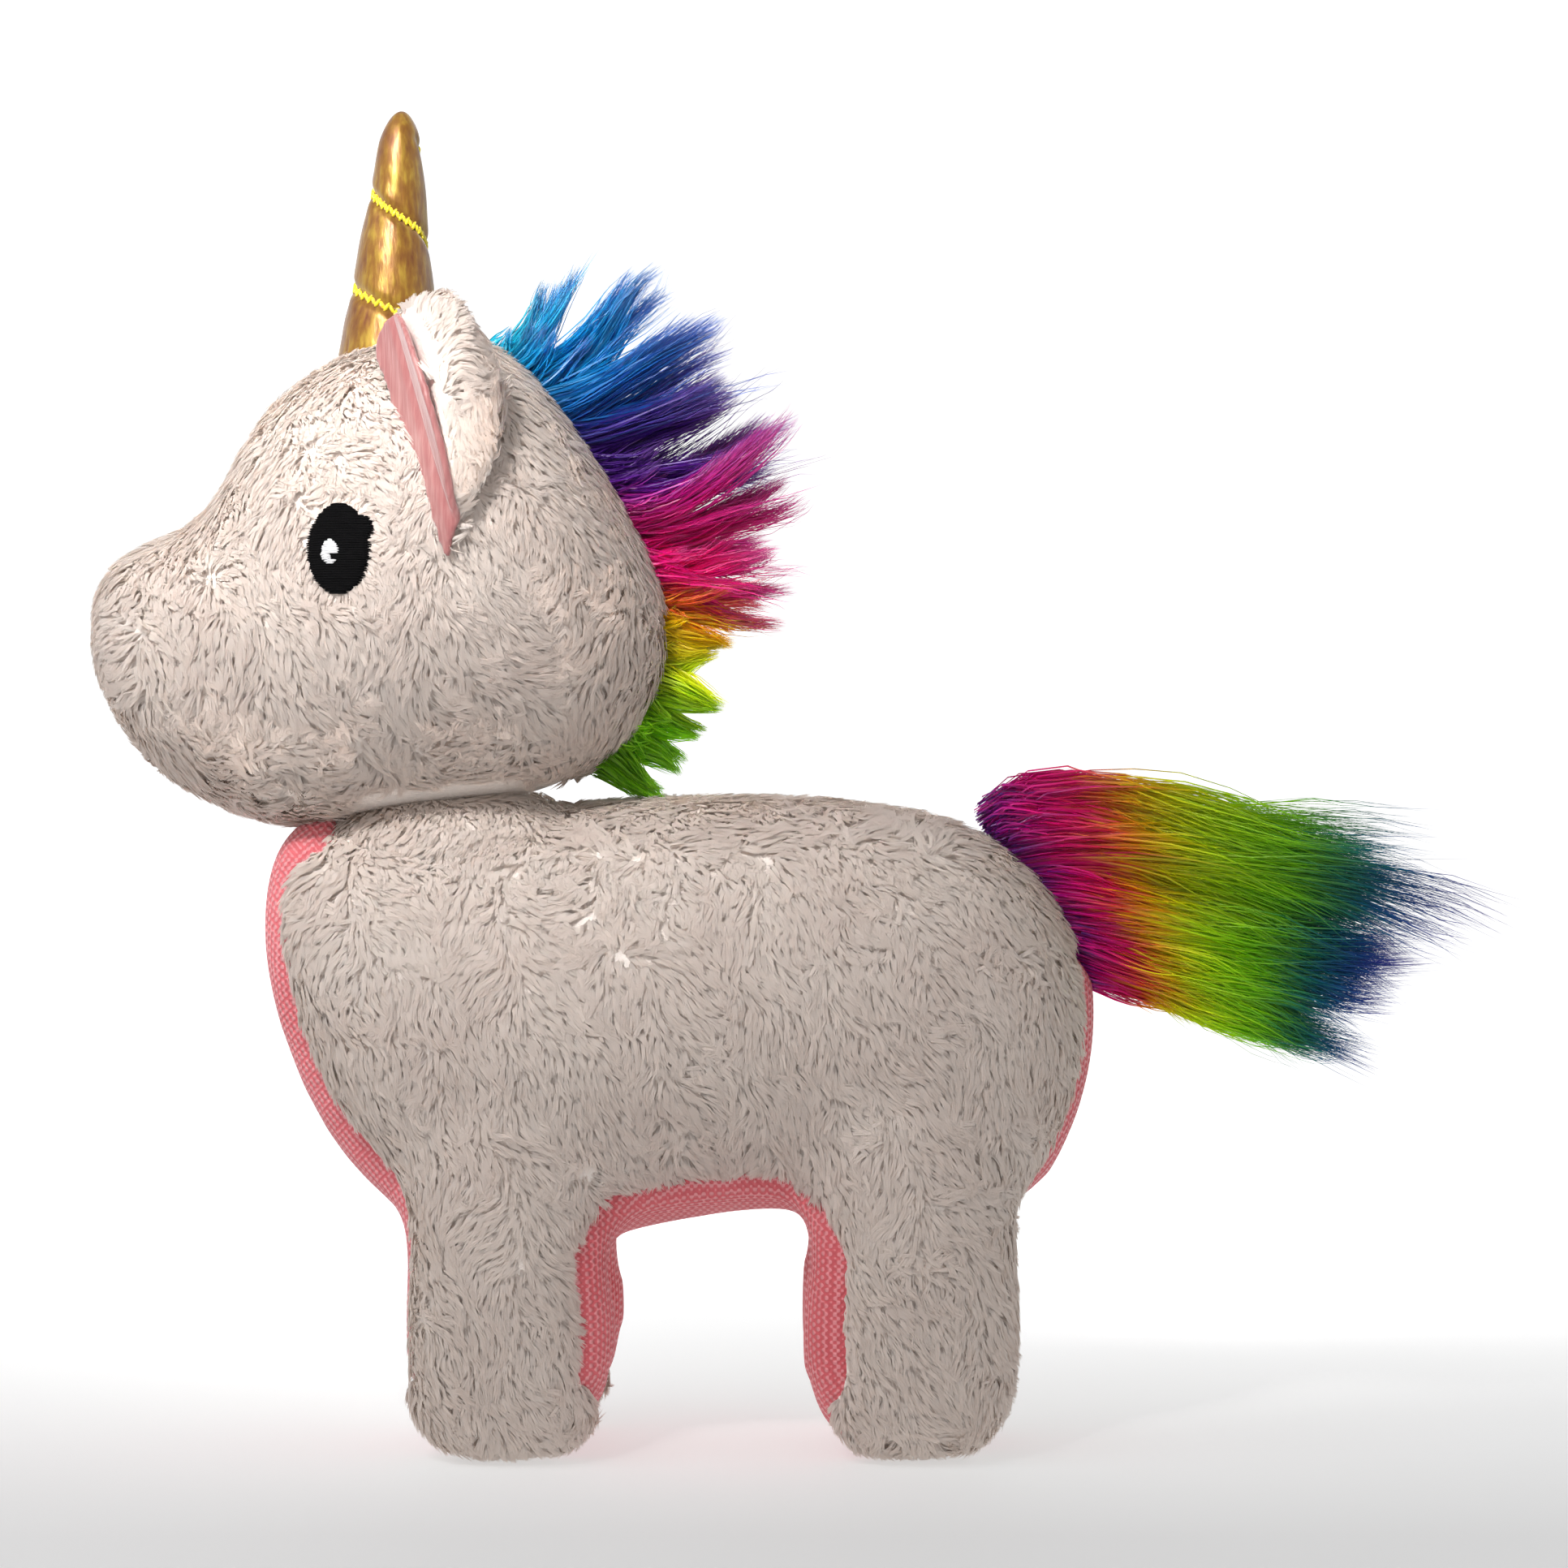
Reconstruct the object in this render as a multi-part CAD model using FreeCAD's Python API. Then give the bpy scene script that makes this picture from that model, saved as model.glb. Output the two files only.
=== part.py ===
import FreeCAD, Part
import math
import os

# Plush unicorn, standing on its four feet. Millimetres, +Z up, nose towards -Y, tail towards +Y.
# The origin is the centre of the bounding box at floor level. The toy is the same on both sides of X = 0.

# Overall size
LENGTH = 257.0
HEIGHT = 250.0

# Fabric
COVER = 3.0  # backing and short pile, pressed together
FILL_GAP = 0.2  # between a cover and the stuffing inside it
SECTION_POINTS = 16
FULLNESS = 2.15  # 2 is an ellipse, more is squarer

# Torso: (y, lowest z, highest z, half width)
TORSO_STATIONS = [
    (-95.5, 90.0, 99.0, 8.0),
    (-92.5, 79.0, 106.0, 17.5),
    (-87.0, 67.0, 111.5, 24.5),
    (-79.0, 53.0, 115.5, 29.5),
    (-68.0, 42.0, 117.0, 32.5),
    (-53.0, 38.0, 117.0, 34.5),
    (-35.0, 39.0, 118.5, 35.0),
    (-15.0, 43.0, 121.0, 35.0),
    (6.0, 45.0, 121.0, 35.0),
    (23.0, 43.0, 119.0, 34.0),
    (37.0, 44.0, 114.5, 30.5),
    (46.5, 52.0, 107.5, 24.5),
    (52.5, 64.0, 98.0, 15.5),
    (55.5, 74.0, 88.0, 7.0),
]
BELLY_HALF = 20.0
CHEST_HALF = 15.0
RUMP_HALF = 9.0
CHEST_END = -53.0
RUMP_START = 24.0
GUSSET_TOP_FRONT_Y = -84.0
GUSSET_TOP_BACK_Z = 93.0
GUSSET_TOP_Z = 80.0

# Legs: (z, half length along y, half width along x)
LEG_STATIONS = [
    (0.0, 11.0, 8.5),
    (3.0, 15.6, 11.8),
    (9.0, 18.8, 13.6),
    (18.0, 20.2, 14.2),
    (30.0, 19.4, 14.2),
    (42.0, 18.0, 13.8),
    (52.0, 17.2, 13.0),
    (59.0, 12.8, 10.0),
    (63.5, 5.5, 4.5),
]
LEG_X = 20.0
HIP_Z = 46.0
HIP_CUT_R = 20.6
HIP_WEB_HALF = 5.4  # what is left of the torso between a left and a right hip
FRONT_LEG_Y = -51.5
HIND_LEG_Y = 23.2
FRONT_SEAM_OFFSET = 7.0
FRONT_SEAM_TURN = -12.0
HIND_SEAM_OFFSET = 1.0
HIND_SEAM_TURN = 35.0

# Neck: a packed ball, half in the torso and half in the head
NECK_Y = -62.0
NECK_Z = 112.0
NECK_R = 17.0
RUNNING_GAP = 0.4

# Head: (y, lowest z, highest z, half width)
HEAD_STATIONS = [
    (-LENGTH / 2, 146.0, 159.0, 8.0),
    (-125.0, 139.5, 165.0, 16.0),
    (-118.0, 128.5, 169.5, 22.0),
    (-108.5, 121.5, 173.5, 26.5),
    (-99.0, 118.5, 184.0, 31.0),
    (-88.5, 117.5, 195.0, 36.5),
    (-76.5, 119.0, 203.5, 40.5),
    (-62.0, 120.5, 206.5, 41.5),
    (-49.5, 122.5, 201.0, 39.0),
    (-37.5, 127.5, 187.0, 31.5),
    (-28.5, 135.5, 171.0, 20.0),
    (-23.0, 145.0, 160.0, 8.0),
]

# Eyes, stitched on each cheek
EYE_Y = -80.0
EYE_Z = 165.6
EYE_HALF_Y = 5.6
EYE_HALF_Z = 7.8
EYE_THICK = 0.9
EYE_LASH_R = 1.6
GLINT_HALF_Y = 1.7
GLINT_HALF_Z = 2.0
GLINT_THICK = 0.5
STITCH_GAP = 0.06

# Horn: it bends about a point just under the top of the head
HORN_Y = -74.6
HORN_Z = 205.0
HORN_LEAN = 3.0  # degrees, tip towards the back
HORN_R = 9.6
HORN_TIP_R = 3.8
HORN_COVER = 0.8
THREAD_R = 0.55
THREAD_PITCH = 18.0
THREAD_START = 4.0
THREAD_TURNS = 1.9
THREAD_POINTS_PER_TURN = 12
THREAD_FIRST_ANGLE = 150.0  # degrees

# Ears: hinge line from the lower to the upper end of the sewn edge, left side
EAR_LOW = (43.5, -61.5, 166.0)
EAR_HIGH = (30.5, -69.5, 202.0)
EAR_REACH = 16.0
EAR_LINING = 1.2
EAR_BACK_STEPS = [(0.0, 1.0), (6.0, 0.92), (11.0, 0.72), (14.0, 0.4)]  # (depth behind the lining, size)
EAR_GAP = 0.9  # from the head to the ear's sewn edge
EAR_SPLAY = 24.0  # degrees that the ear's plane is turned back from straight out
EAR_FOLD = 12.0  # degrees of room behind the ear to fold back

# Mane: outline of the pile past the head, in the middle plane (y, z)
MANE_OUTLINE = [
    (-54.0, 203.0),
    (-46.0, 221.0),
    (-28.0, 219.0),
    (-12.0, 208.0),
    (-4.0, 194.0),
    (2.5, 180.0),
    (1.5, 163.0),
    (-11.0, 150.0),
    (-16.0, 138.0),
    (-24.0, 129.5),
]
MANE_INSIDE = (-62.0, 160.0)
MANE_HALF = 7.0
MANE_STRIP_HALF = 4.5
MANE_STRIP_THICK = 1.5
MANE_GAP = 0.2
MANE_STRIP_FRONT_Y = -57.0
MANE_STRIP_LOW_Z = 131.0

# Tail: a rolled tape along the seam it is sewn into, from its upper to its lower end (y, z)
TAIL_SEAM_HIGH = (39.5, 119.0)
TAIL_SEAM_LOW = (58.2, 89.0)
TAIL_ROLL_R = 2.4
TAIL_BACKING = 2.0
TAIL_BACKING_REACH = 16.0
# The pile either side of the backing: (y, middle z, half height, half width)
TAIL_PILE_STATIONS = [
    (46.0, 108.0, 14.0, 3.0),
    (55.0, 106.0, 18.5, 5.6),
    (64.0, 103.5, 19.5, 9.5),
    (76.0, 101.0, 20.5, 12.0),
    (92.0, 97.0, 21.0, 12.5),
    (108.0, 95.0, 21.0, 11.0),
    (121.0, 96.5, 15.0, 7.5),
    (LENGTH / 2, 97.5, 6.5, 3.5),
]
TAIL_SWEEP_GAP = 1.0


def vector(x, y, z):
    return FreeCAD.Vector(x, y, z)


def ring(middle, across, up):
    """A closed smooth section round middle, with the half sizes given as two vectors."""
    points = []
    for i in range(SECTION_POINTS):
        angle = 2 * math.pi * i / SECTION_POINTS
        c = math.cos(angle)
        s = math.sin(angle)
        a = math.copysign(abs(s) ** (2 / FULLNESS), s)
        b = math.copysign(abs(c) ** (2 / FULLNESS), c)
        points.append(middle + across * a + up * b)
    curve = Part.BSplineCurve()
    curve.interpolate(points, PeriodicFlag=True)
    return Part.Wire(curve.toShape())


def loft_along_y(stations, grow=0.0, x=0.0):
    """A closed solid through sections (y, middle z, half height, half width), grown outwards."""
    wires = []
    last = len(stations) - 1
    for i, (y, z, half_z, half_x) in enumerate(stations):
        ends = {0: -grow, last: grow}.get(i, 0.0)
        across = vector(half_x + grow, 0, 0)
        up = vector(0, 0, half_z + grow)
        wires.append(ring(vector(x, y + ends, z), across, up))
    return Part.makeLoft(wires, True, False)


def from_low_high(stations):
    return [(y, (low + high) / 2, (high - low) / 2, half) for y, low, high, half in stations]


def box(x0, x1, y0, y1, z0, z1):
    return Part.makeBox(x1 - x0, y1 - y0, z1 - z0, vector(x0, y0, z0))


FAR = 400.0


def slab(half):
    """Everything within half of the middle plane."""
    return box(-half, half, -FAR, FAR, -FAR, FAR)


def mirrored(shape):
    return shape.mirror(vector(0, 0, 0), vector(1, 0, 0))


def solids_of(shape, least=1.0):
    """The shape's solids as one compound, without slivers under least cubic millimetres."""
    kept = [s for s in shape.Solids if s.Volume > least]
    return kept[0] if len(kept) == 1 else Part.makeCompound(kept)


def left_half(shape):
    return shape.common(box(0, FAR, -FAR, FAR, -FAR, FAR))


# Torso

TORSO = from_low_high(TORSO_STATIONS)


def hip_cut(leg_y):
    """The round room in the torso for a left and a right leg's upper end."""
    axis = vector(1, 0, 0)
    left = Part.makeCylinder(HIP_CUT_R, FAR, vector(HIP_WEB_HALF, leg_y, HIP_Z), axis)
    return left.fuse(mirrored(left))


def torso_room():
    """What the neck, the tail and the legs take out of the torso."""
    neck = neck_ball(RUNNING_GAP)
    tail = tail_roll(RUNNING_GAP)
    return [neck, tail, hip_cut(FRONT_LEG_Y), hip_cut(HIND_LEG_Y)]


def torso_shell():
    shell = loft_along_y(TORSO).cut(loft_along_y(TORSO, -COVER))
    return shell.cut(torso_room())


def gusset_zone():
    """The strip under the chest, belly and rump, as three boxes that share the cut lines."""
    chest_sides = (-CHEST_HALF, CHEST_HALF)
    chest = box(*chest_sides, -FAR, CHEST_END, -FAR, GUSSET_TOP_Z)
    chest = chest.fuse(box(*chest_sides, -FAR, GUSSET_TOP_FRONT_Y, -FAR, FAR))
    belly = box(-BELLY_HALF, BELLY_HALF, CHEST_END, RUMP_START, -FAR, GUSSET_TOP_Z)
    rump = box(-RUMP_HALF, RUMP_HALF, RUMP_START, FAR, -FAR, GUSSET_TOP_BACK_Z)
    return chest, belly, rump


def torso_nodes():
    shell = torso_shell()
    chest, belly, rump = gusset_zone()
    panels = shell.cut([chest, belly, rump])
    left = left_half(panels)
    stuffing = loft_along_y(TORSO, -COVER - FILL_GAP).cut(torso_room())
    return {
        "body_cover_left": left,
        "body_cover_right": mirrored(left),
        "chest_gusset": shell.common(chest),
        "belly_gusset": shell.common(belly),
        "rump_gusset": shell.common(rump),
        "body_stuffing": stuffing,
    }


# Legs


def leg_solid(leg_y, grow=0.0):
    """One left leg. The foot stays flat on the floor, and shrinks upwards when grow is negative."""
    wires = []
    last = len(LEG_STATIONS) - 1
    for i, (z, half_y, half_x) in enumerate(LEG_STATIONS):
        ends = {0: -grow, last: grow}.get(i, 0.0)
        middle = vector(LEG_X, leg_y, z + ends)
        wires.append(ring(middle, vector(half_x + grow, 0, 0), vector(0, half_y + grow, 0)))
    return Part.makeLoft(wires, True, False)


def seam_side(leg_y, offset, turn):
    """A big block on the outer side of a leg's seam, which is turned about the leg's own axis."""
    block = box(offset, FAR, -FAR, FAR, -FAR, FAR)
    block.rotate(vector(0, 0, 0), vector(0, 0, 1), turn)
    block.translate(vector(LEG_X, leg_y, 0))
    return block


def leg_nodes(name, leg_y, offset, turn):
    shell = leg_solid(leg_y).cut(leg_solid(leg_y, -COVER))
    outside = seam_side(leg_y, offset, turn)
    left = {
        "cover": shell.common(outside),
        "inner_panel": shell.cut(outside),
        "stuffing": leg_solid(leg_y, -COVER - FILL_GAP),
    }
    nodes = {}
    for piece, shape in left.items():
        nodes[f"{name}_left_leg_{piece}"] = shape
        nodes[f"{name}_right_leg_{piece}"] = mirrored(shape)
    return nodes


# Neck and head

HEAD = from_low_high(HEAD_STATIONS)


def neck_ball(grow):
    return Part.makeSphere(NECK_R + grow, vector(0, NECK_Y, NECK_Z))


def horn_socket(grow):
    """The round seat of the horn, round the point that it bends about."""
    return Part.makeSphere(HORN_R + grow, vector(0, HORN_Y, HORN_Z))


def head_room():
    return [neck_ball(RUNNING_GAP), horn_socket(RUNNING_GAP)]


def head_nodes():
    shell = loft_along_y(HEAD).cut(loft_along_y(HEAD, -COVER))
    left = left_half(shell.cut(head_room()))
    stuffing = loft_along_y(HEAD, -COVER - FILL_GAP).cut(head_room())
    return {
        "head_cover_left": left,
        "head_cover_right": mirrored(left),
        "head_stuffing": stuffing,
    }


def skin_layer(low, high):
    """A layer over the head, from low to high above its cover."""
    return loft_along_y(HEAD, high).cut(loft_along_y(HEAD, low))


def oval_column(half_y, half_z):
    """A column along X with an oval section, on the left eye."""
    wire = ring(vector(0, EYE_Y, EYE_Z), vector(0, half_y, 0), vector(0, 0, half_z))
    return Part.Face(wire).extrude(vector(FAR, 0, 0))


def eye_nodes():
    lash_at = vector(0, EYE_Y + EYE_HALF_Y, EYE_Z + EYE_HALF_Z * 0.35)
    lash = Part.makeCylinder(EYE_LASH_R, FAR, lash_at, vector(1, 0, 0))
    pupil = oval_column(EYE_HALF_Y, EYE_HALF_Z).fuse(lash)
    eye = skin_layer(STITCH_GAP, EYE_THICK).common(pupil)
    glint_layer = skin_layer(EYE_THICK + STITCH_GAP, EYE_THICK + GLINT_THICK)
    glint = glint_layer.common(oval_column(GLINT_HALF_Y, GLINT_HALF_Z))
    return {
        "eye_left": eye,
        "eye_right": mirrored(eye),
        "eye_glint_left": glint,
        "eye_glint_right": mirrored(glint),
    }


# Horn


def horn_length():
    return (HEIGHT - HORN_Z) / math.cos(math.radians(HORN_LEAN))


def horn_blank(grow):
    """A round-ended cone along Z, with its foot's ball round the point that it bends about."""
    tip_z = horn_length() - HORN_TIP_R
    foot = Part.makeSphere(HORN_R + grow, vector(0, 0, 0))
    side = Part.makeCone(HORN_R + grow, HORN_TIP_R + grow, tip_z)
    tip = Part.makeSphere(HORN_TIP_R + grow, vector(0, 0, tip_z))
    return foot.fuse([side, tip]).removeSplitter()


def horn_radius(z):
    return HORN_R - (HORN_R - HORN_TIP_R) * z / (horn_length() - HORN_TIP_R)


def horn_thread():
    """The gold thread wound up the horn, lying on its cover."""
    points = []
    for i in range(int(THREAD_TURNS * THREAD_POINTS_PER_TURN) + 1):
        turns = i / THREAD_POINTS_PER_TURN
        angle = math.radians(THREAD_FIRST_ANGLE) - 2 * math.pi * turns
        z = THREAD_START + turns * THREAD_PITCH
        r = horn_radius(z) + THREAD_R + STITCH_GAP
        points.append(vector(r * math.cos(angle), r * math.sin(angle), z))
    curve = Part.BSplineCurve()
    curve.interpolate(points)
    first = curve.FirstParameter
    circle = Part.makeCircle(THREAD_R, curve.value(first), vector(*curve.tangent(first)[0]))
    return Part.Wire(curve.toShape()).makePipeShell([Part.Wire(circle)], True, True)


def stood_on_head(shape):
    shape = shape.copy()
    shape.rotate(vector(0, 0, 0), vector(1, 0, 0), -HORN_LEAN)
    shape.translate(vector(0, HORN_Y, HORN_Z))
    return shape


def horn_nodes():
    cover = horn_blank(0.0).cut(horn_blank(-HORN_COVER))
    return {
        "horn_cover": stood_on_head(cover),
        "horn_stuffing": stood_on_head(horn_blank(-HORN_COVER - FILL_GAP)),
        "horn_thread": stood_on_head(horn_thread()),
    }


# Ears


def ear_frame():
    """The sewn edge's start, its length, and the ear's directions: along, outwards and to the front."""
    low = vector(*EAR_LOW)
    edge = vector(*EAR_HIGH) - low
    along = FreeCAD.Vector(edge)
    along.normalize()
    side = vector(1, 0, 0) - along * along.x
    side.normalize()
    turn = FreeCAD.Rotation(along, EAR_SPLAY)
    outwards = turn.multVec(side)
    return low, edge.Length, along, outwards, outwards.cross(along)


def ear_outline(depth, size):
    """A leaf, flat on its sewn edge, at a depth behind the lining's front and shrunk by size."""
    low, length, along, outwards, forwards = ear_frame()
    outline = [
        (0.0, 0.0),
        (0.22, 0.52),
        (0.60, 0.93),
        (0.95, 1.0),
        (1.22, 0.62),
        (1.22, 0.12),
        (1.0, 0.0),
    ]
    points = []
    for a, b in outline:
        a = 0.5 + (a - 0.5) * size
        points.append(low + along * (a * length) + outwards * (b * size * EAR_REACH) - forwards * depth)
    curve = Part.BSplineCurve()
    curve.interpolate(points)
    return Part.Wire([curve.toShape(), Part.makeLine(points[-1], points[0])])


def ear_nodes():
    lining_back = ear_outline(EAR_LINING, 1.0)
    lining = Part.makeLoft([ear_outline(0.0, 1.0), lining_back], True, True)
    start = EAR_LINING + STITCH_GAP
    wires = [ear_outline(start + depth, size) for depth, size in EAR_BACK_STEPS]
    back = Part.makeLoft(wires, True, True)
    head = loft_along_y(HEAD, EAR_GAP)
    low, length, along, outwards, forwards = ear_frame()
    head_when_folded = head.copy()
    head_when_folded.rotate(low, along, -EAR_FOLD)
    back = back.cut(head).cut(head_when_folded)
    lining = lining.cut(head)
    return {
        "ear_left_back": back,
        "ear_right_back": mirrored(back),
        "ear_left_lining": lining,
        "ear_right_lining": mirrored(lining),
    }


# Mane


def mane_nodes():
    strip = skin_layer(MANE_GAP, MANE_STRIP_THICK).common(slab(MANE_STRIP_HALF))
    strip = strip.common(box(-FAR, FAR, MANE_STRIP_FRONT_Y, FAR, MANE_STRIP_LOW_Z, FAR))
    points = [vector(-MANE_HALF, y, z) for y, z in MANE_OUTLINE]
    curve = Part.BSplineCurve()
    curve.interpolate(points)
    inside = vector(-MANE_HALF, *MANE_INSIDE)
    edges = [curve.toShape(), Part.makeLine(points[-1], inside), Part.makeLine(inside, points[0])]
    fin = Part.Face(Part.Wire(edges)).extrude(vector(2 * MANE_HALF, 0, 0))
    pile = fin.cut(loft_along_y(HEAD, MANE_STRIP_THICK + MANE_GAP))
    return {"mane_backing": strip, "mane_pile": pile}


# Tail


def tail_roll(grow):
    high = vector(0, *TAIL_SEAM_HIGH)
    along = vector(0, *TAIL_SEAM_LOW) - high
    return Part.makeCylinder(TAIL_ROLL_R + grow, along.Length, high, along)


def behind_seam(depth, half):
    """A block behind the tail's seam line, from depth back."""
    high = vector(0, *TAIL_SEAM_HIGH)
    along = vector(0, *TAIL_SEAM_LOW) - high
    lean = math.degrees(math.atan2(along.y, -along.z))
    block = box(-half, half, depth, FAR, -FAR, FAR)
    block.rotate(vector(0, 0, 0), vector(1, 0, 0), lean)
    block.translate(high)
    return block


def tail_nodes():
    pile = loft_along_y(TAIL_PILE_STATIONS).common(behind_seam(TAIL_ROLL_R + TAIL_SWEEP_GAP, FAR))
    backing = loft_along_y(TAIL_PILE_STATIONS, -4.0).common(behind_seam(0.0, TAIL_BACKING / 2))
    backing = backing.cut(behind_seam(TAIL_BACKING_REACH, FAR)).cut(tail_roll(STITCH_GAP))
    pile = pile.cut(backing)
    return {
        "tail_root": tail_roll(0.0),
        "tail_backing": backing,
        "tail_pile": pile.cut(tail_roll(STITCH_GAP)),
    }


def all_nodes():
    nodes = {}
    nodes.update(torso_nodes())
    nodes.update(leg_nodes("front", FRONT_LEG_Y, FRONT_SEAM_OFFSET, FRONT_SEAM_TURN))
    nodes.update(leg_nodes("hind", HIND_LEG_Y, HIND_SEAM_OFFSET, HIND_SEAM_TURN))
    nodes["neck_stuffing"] = neck_ball(0.0)
    nodes.update(head_nodes())
    nodes.update(eye_nodes())
    nodes.update(horn_nodes())
    nodes.update(ear_nodes())
    nodes.update(mane_nodes())
    nodes.update(tail_nodes())
    return nodes


def main():
    os.makedirs("parts", exist_ok=True)
    whole = FreeCAD.BoundBox()
    for name, shape in sorted(all_nodes().items()):
        shape = solids_of(shape)
        whole.add(shape.BoundBox)
        shape.exportStep(f"parts/{name}.step")
        state = "valid" if shape.isValid() else "NOT VALID"
        print(f"{name:32s} solids {len(shape.Solids)}  volume {shape.Volume:10.1f}  {state}")
    print("box", whole)


main()
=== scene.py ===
import math
import bpy
import numpy as np
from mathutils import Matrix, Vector
from mathutils.bvhtree import BVHTree


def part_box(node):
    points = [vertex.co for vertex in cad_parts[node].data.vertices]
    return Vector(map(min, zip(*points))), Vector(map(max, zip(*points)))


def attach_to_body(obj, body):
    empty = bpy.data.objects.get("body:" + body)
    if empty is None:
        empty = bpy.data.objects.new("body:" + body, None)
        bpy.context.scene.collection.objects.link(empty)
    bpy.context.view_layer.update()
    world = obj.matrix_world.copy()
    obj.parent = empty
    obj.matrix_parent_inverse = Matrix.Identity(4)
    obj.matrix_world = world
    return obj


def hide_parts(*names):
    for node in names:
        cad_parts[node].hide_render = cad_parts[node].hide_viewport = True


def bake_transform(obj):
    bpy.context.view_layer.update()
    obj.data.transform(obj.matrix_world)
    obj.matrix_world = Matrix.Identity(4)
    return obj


# A plush unicorn. Shapes are worked out in millimetres and stored in metres, in the frame of the CAD.
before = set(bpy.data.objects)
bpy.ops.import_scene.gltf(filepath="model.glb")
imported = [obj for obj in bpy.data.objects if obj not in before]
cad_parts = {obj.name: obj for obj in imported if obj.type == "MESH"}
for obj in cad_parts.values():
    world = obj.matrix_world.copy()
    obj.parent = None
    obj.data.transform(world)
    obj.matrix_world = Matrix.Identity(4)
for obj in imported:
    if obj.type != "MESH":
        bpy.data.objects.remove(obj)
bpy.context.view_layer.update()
MM = 0.001
SMALL = 1e-9

# Skin: the backing cloth lies this deep under the outside that the pile reaches
PILE_DEPTH = 0.7
FULLNESS = 2.15  # of the sections: 2 is an ellipse, more is squarer

# Torso: (y, lowest z, highest z, half width)
TORSO_ROWS = np.array([
    (-96.0, 92.0, 103.0, 8.0), (-94.0, 83.0, 112.5, 17.0), (-89.5, 69.5, 117.0, 23.0),
    (-83.5, 58.0, 118.5, 27.5), (-77.0, 50.0, 119.0, 30.5), (-68.0, 42.0, 119.5, 32.5),
    (-53.0, 38.0, 119.5, 34.5), (-35.0, 39.0, 120.5, 35.0), (-15.0, 43.0, 121.5, 35.0),
    (6.0, 45.0, 121.0, 35.0), (23.0, 43.0, 119.0, 34.0), (37.0, 44.0, 114.5, 30.5),
    (46.5, 49.0, 106.5, 24.5), (53.0, 62.0, 97.5, 16.5), (56.5, 75.0, 89.0, 8.0),
])
# Head: the same
HEAD_ROWS = np.array([
    (-128.8, 145.0, 160.0, 8.0), (-125.0, 137.0, 165.5, 16.0), (-118.0, 127.0, 169.0, 22.0),
    (-109.5, 121.5, 172.0, 26.0), (-103.5, 119.0, 180.0, 28.8), (-98.5, 117.0, 190.0, 31.3),
    (-92.5, 115.8, 197.0, 34.5), (-85.0, 115.8, 202.0, 37.8), (-75.0, 117.0, 206.0, 40.7),
    (-62.0, 118.5, 208.0, 41.5), (-50.5, 120.5, 202.0, 39.3), (-39.0, 124.8, 188.0, 32.5),
    (-29.0, 133.5, 171.5, 21.5), (-23.0, 143.0, 159.0, 9.0),
])
# Legs: (z, half length along y, half width along x); the upper rows are inside the torso
LEG_ROWS = np.array([
    (0.0, 10.5, 8.5), (2.5, 14.4, 11.4), (8.5, 18.2, 13.4), (17.0, 20.2, 14.2), (28.0, 20.3, 14.2),
    (38.0, 19.4, 14.2), (52.0, 19.0, 14.4), (64.0, 17.0, 13.5), (74.0, 12.0, 9.0),
])
LEG_X = 20.0
LEG_FLOOR = 1.2  # the lowest row is lifted to here
FRONT_LEG_Y = -51.5
HIND_LEG_Y = 23.2


def attach(piece, body, slot, *nodes):
    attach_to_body(piece, body)
    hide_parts(*nodes)


def node_box(name):
    low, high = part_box(name)
    return np.array(low) / MM, np.array(high) / MM


# Camera and light


def look_at(place, target):
    return (Vector(target) - Vector(place)).to_track_quat("-Z", "Y").to_euler()


def make_camera():
    data = bpy.data.cameras.new("camera")
    data.sensor_width = 36.0
    camera = bpy.data.objects.new("camera", data)
    bpy.context.scene.collection.objects.link(camera)
    distance = 0.8
    frame_width = 0.2945
    middle = -0.0005
    eye_level = 0.1236
    data.lens = data.sensor_width * distance / frame_width
    camera.location = (distance, middle, eye_level)
    camera.rotation_euler = look_at(camera.location, (0.0, middle, eye_level))
    data.clip_start = 0.01
    bpy.context.scene.camera = camera


def area_light(name, place, target, size, power, colour, spread=180.0):
    data = bpy.data.lights.new(name, "AREA")
    data.shape = "RECTANGLE"
    data.size, data.size_y = size
    data.energy = power
    data.color = colour
    data.spread = math.radians(spread)
    light = bpy.data.objects.new(name, data)
    light.location = place
    light.rotation_euler = look_at(place, target)
    bpy.context.scene.collection.objects.link(light)


def make_lights():
    aim = (0.0, 0.0, 0.13)
    head = (0.0, -0.07, 0.21)
    cool, plain, warm = (0.98, 0.99, 1.0), (1.0, 0.99, 0.98), (1.0, 0.98, 0.97)
    area_light("key_light", (0.45, -0.7, 0.95), aim, (0.6, 0.6), 2.4, cool)
    area_light("top_light", (0.1, 0.0, 1.15), aim, (0.7, 0.7), 0.7, cool)
    area_light("fill_light", (0.8, -0.25, 0.5), aim, (0.5, 0.5), 0.4, plain)
    area_light("head_light", (0.42, -0.2, 0.5), head, (0.12, 0.12), 0.2, warm, spread=34.0)
    world = bpy.data.worlds.new("studio")
    world.use_nodes = True
    background = world.node_tree.nodes["Background"]
    background.inputs["Color"].default_value = (0.97, 0.97, 1.0, 1.0)
    background.inputs["Strength"].default_value = 0.08
    bpy.context.scene.world = world
    bpy.context.scene.view_settings.view_transform = "Standard"


# Materials


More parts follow.
